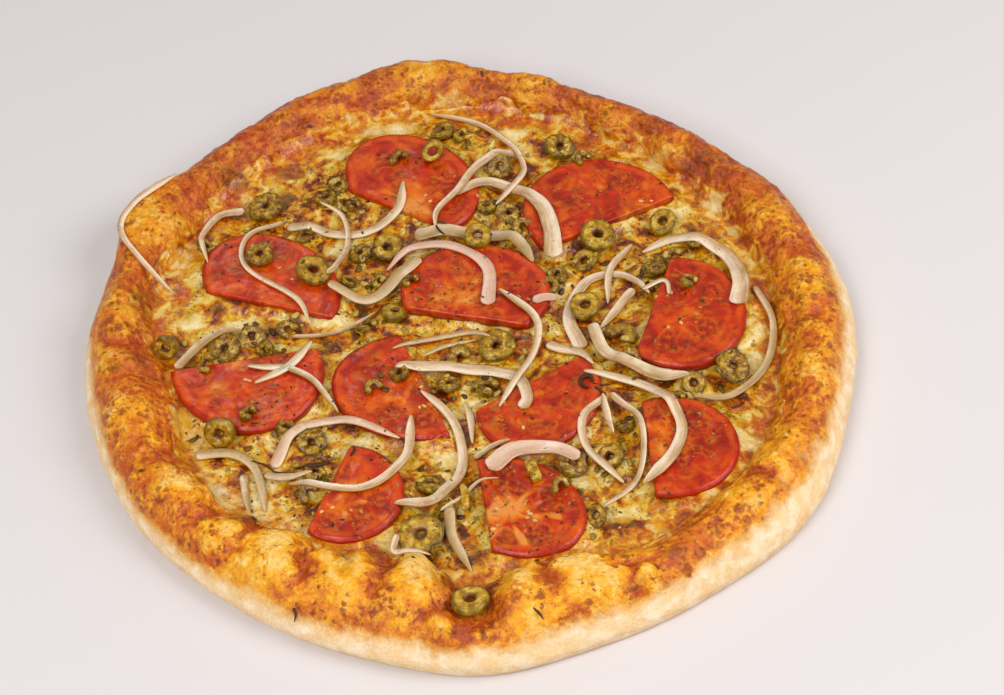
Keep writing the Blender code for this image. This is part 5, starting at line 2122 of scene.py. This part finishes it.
@dataclass
class LeafCrumbs:
    """Dried leaf strewn over the toppings."""

    finish: Material
    count: int = 1900
    reach: float = 124.0
    large: Rows = ((-62, 132, 2.4), (18, 150, 2.6), (-133, -65, 2.4), (-66, 44, 2.2), (-6, 65, 2.8),
                   (-4, 63, 2.4), (70, -30, 2.6), (-88, -90, 2.4), (-10, -70, 2.6))

    def model(self) -> Piece:
        """One thin bent scrap of leaf, 1 mm long.

        Returns:
            The scrap.
        """
        clear_selection()
        bpy.ops.mesh.primitive_grid_add(x_subdivisions=3, y_subdivisions=2, size=2.0, location=(0, 0, 0))
        scrap = bpy.context.object
        points = read_points(scrap)
        x, y = points[:, 0].copy(), points[:, 1].copy()
        points[:, 0] = x / 2
        points[:, 1] = y * 0.20 * (1.1 - 0.75 * x ** 2)
        points[:, 2] = 0.16 * y ** 2 + 0.10 * x
        write_points(scrap, points)
        thick = scrap.modifiers.new("thickness", "SOLIDIFY")
        thick.thickness = 0.14 * MM
        pick(scrap)
        bpy.ops.object.modifier_apply(modifier=thick.name)
        return scrap

    def build(self, bed: Bed) -> Piece:
        """Strew the scraps, thickest over the middle and in clumps.

        Args:
            bed: what they fall on.

        Returns:
            The piece with all of them.
        """
        draw = random.Random(23)
        placed, tones = [], []
        while len(placed) < self.count:
            turn, out = draw.uniform(0, 2 * math.pi), self.reach * draw.random() ** 0.58
            x, y = out * math.cos(turn), out * math.sin(turn)
            clump = noise.noise(Vector((x, y, 7.0)) / 17.0) + 0.5 * noise.noise(Vector((x, y, 1.0)) / 6.0)
            if draw.random() > 0.40 + 0.9 * clump:
                continue
            scrap = self.drop(x, y, draw, bed, 0.6 + 1.2 * draw.random() ** 2)
            if "strip" in bed.under and draw.random() < 0.90:
                continue
            placed.append(scrap)
            tones.append(draw.random())
        for x, y, size in self.large:
            placed.append(self.drop(x, y, draw, bed, size))
            tones.append(0.35)
        return lay_copies(self.model(), "leaf_crumbs", placed, tones, self.finish)

    @staticmethod
    def drop(x: float, y: float, draw: random.Random, bed: Bed, size: float) -> Placed:
        """Let one scrap fall.

        Args:
            x: place, in millimetres.
            y: place, in millimetres.
            draw: where its chances come from.
            bed: what it falls on.
            size: its length in millimetres.

        Returns:
            Its place, turn, slope and size.
        """
        height, slope = bed.touch(x, y)
        tilt = (slope + Vector((draw.uniform(-0.25, 0.25), draw.uniform(-0.25, 0.25), 0.3))).normalized()
        return x, y, height + 0.12 * size * 0.5, draw.uniform(0, 6.28), tilt, size


@dataclass
class OliveCrumbs:
    """Small shrivelled bits that broke off the rings."""

    finish: Material
    count: int = 420
    reach: float = 122.0
    highest: float = 14.5

    def build(self, bed: Bed) -> Piece:
        """Strew the bits near the rings.

        Args:
            bed: what they lie on.

        Returns:
            The piece with all of them.
        """
        clear_selection()
        bpy.ops.mesh.primitive_ico_sphere_add(subdivisions=2, radius=1.0, location=(0, 0, 0))
        bit = bpy.context.object
        points = read_points(bit)
        points *= (1 + 0.50 * rough(points, 0.7))[:, None] * np.array((0.70, 0.42, 0.20))
        points[:, 2] += 0.25 * points[:, 0] ** 2
        write_points(bit, points)
        rings = (*sunk_olives(), *small_olives(), *node_olives())
        homes = [cut for cut in rings if cut.flesh is not Flesh.PLUMP]
        draw = random.Random(31)
        placed, tones = [], []
        while len(placed) < self.count:
            home = draw.choice(homes)
            turn, far = draw.uniform(0, 2 * math.pi), draw.uniform(0.2, 1.1) * home.diameter
            x, y = home.x + far * math.cos(turn), home.y + far * math.sin(turn)
            height, slope = bed.touch(x, y)
            if math.hypot(x, y) > self.reach or height > self.highest or "strip" in bed.under:
                continue
            placed.append((x, y, height + 0.25, draw.uniform(0, 6.28), slope, draw.uniform(1.0, 3.2)))
            tones.append(draw.random())
        return lay_copies(bit, "olive_crumbs", placed, tones, self.finish)


# ---------------------------------------------------------------- camera, floor and light

@dataclass(frozen=True)
class Studio:
    """The photograph's view, a pale floor and soft light.

    aim, away, above and roll place the camera, in metres, degrees and radians. Each lamp has a
    name, place, size, power and colour.
    """

    aim: tuple[float, float, float] = (0.0164, 0.0037, 0.0)
    away: float = 1.1114
    above: float = 49.05
    roll: float = -0.0855
    lens: float = 2600 / 1004 * 36
    lamps: tuple[tuple[object, ...], ...] = (
        ("key", (-0.55, -0.80, 1.15), 0.7, 12.4, (1.0, 0.98, 0.96)),
        ("fill", (0.95, -0.25, 1.0), 0.8, 11.3, (1.0, 0.98, 0.96)),
        ("gleam", (-0.25, 0.95, 1.10), 0.14, 0.7, (1.0, 1.0, 1.0)),
    )
    sky: tuple[float, float, float, float] = (1.0, 0.985, 0.975, 1)
    sky_strength: float = 0.40

    def camera(self) -> None:
        """Put the camera where the photograph was taken from."""
        tilt = math.radians(self.above)
        forward = Vector((0, math.cos(tilt), -math.sin(tilt)))
        right = Vector((1, 0, 0))
        up = right.cross(forward)
        c, s = math.cos(self.roll), math.sin(self.roll)
        right, up = c * right + s * up, -s * right + c * up
        place = Matrix((right, up, -forward)).transposed().to_4x4()
        place.translation = Vector(self.aim) - self.away * forward
        data = bpy.data.cameras.new("camera")
        data.lens, data.sensor_width, data.clip_start = self.lens, 36.0, 0.01
        data.dof.use_dof = False
        eye = bpy.data.objects.new("camera", data)
        bpy.context.scene.collection.objects.link(eye)
        eye.matrix_world = place
        bpy.context.scene.camera = eye

    def floor(self) -> None:
        """Lay the pale floor."""
        clear_selection()
        bpy.ops.mesh.primitive_plane_add(size=8.0, location=(0, 0, 0))
        floor = bpy.context.object
        floor.name = floor.data.name = "floor"
        floor.data.materials.append(FloorFinish().build())

    def light(self, name: str, at: tuple[float, float, float], size: float, power: float,
              colour: tuple[float, float, float]) -> None:
        """Hang one soft light that points at the pizza.

        Args:
            name: its name.
            at: its place in metres.
            size: the side of its square, in metres.
            power: its power in watts.
            colour: its colour.
        """
        data = bpy.data.lights.new(name, "AREA")
        data.shape, data.size, data.energy, data.color = "SQUARE", size, power, colour
        lamp = bpy.data.objects.new(name, data)
        bpy.context.scene.collection.objects.link(lamp)
        lamp.location = at
        lamp.rotation_euler = (-Vector(at)).to_track_quat("-Z", "Y").to_euler()

    def build(self) -> None:
        """Set up the whole studio."""
        self.camera()
        self.floor()
        for lamp in self.lamps:
            self.light(*lamp)
        world = bpy.data.worlds.new("studio")
        world.use_nodes = True
        back = world.node_tree.nodes["Background"]
        back.inputs[0].default_value, back.inputs[1].default_value = self.sky, self.sky_strength
        bpy.context.scene.world = world
        bpy.context.scene.view_settings.view_transform = "Standard"


def main() -> None:
    """Build the pizza from the base up."""
    logging.basicConfig(level=logging.INFO, format="%(message)s")
    Studio().build()
    effects = build_effects()
    olive_finish = OliveFinish(effects).build()
    tomato_finish = TomatoFinish(effects).build()
    bed = Bed()
    bed.add(Crust(CrustFinish(effects).build()).build())
    halves = [TomatoHalf(cut, tomato_finish) for cut in TOMATO_CUTS]
    rings = [np.array([(cut.x + cut.diameter / 2 * math.cos(a), cut.y + cut.diameter / 2 * math.sin(a))
                       for a in np.linspace(0, 2 * math.pi, 24)]) for cut in sunk_olives()]
    bed.add(Cheese(CheeseFinish(effects).build()).build([half.edge_points() for half in halves] + rings))
    olives, onions = Olives(olive_finish), Strips(OnionFinish(effects).build())
    olives.lay_loose(sunk_olives(), "sunk_olives", bed)
    for half in halves:
        bed.add(half.build())
    TomatoSeeds(SEED_FINISH.build()).build(bed)
    onions.lay(NODE_STRIPS[:3], bed)
    olives.lay(node_olives()[:16], bed)
    olives.lay_loose(small_olives(), "small_olives", bed)
    onions.lay(NODE_STRIPS[3:], bed)
    onions.lay_split(bed)
    olives.lay(node_olives()[16:], bed)
    onions.lay_small(SMALL_STRIPS, "small_onion_strips", Slot.ONION, bed)
    Strips(olive_finish).lay_small(GREEN_SCRAPS, "green_scraps", Slot.OLIVE, bed)
    Strips(BURNT_FINISH.build()).lay_small(BURNT_SCRAPS, "burnt_scraps", None, bed)
    OliveCrumbs(BIT_FINISH.build()).build(bed)
    LeafCrumbs(LEAF_FINISH.build()).build(bed)


if __name__ == "__main__":
    main()
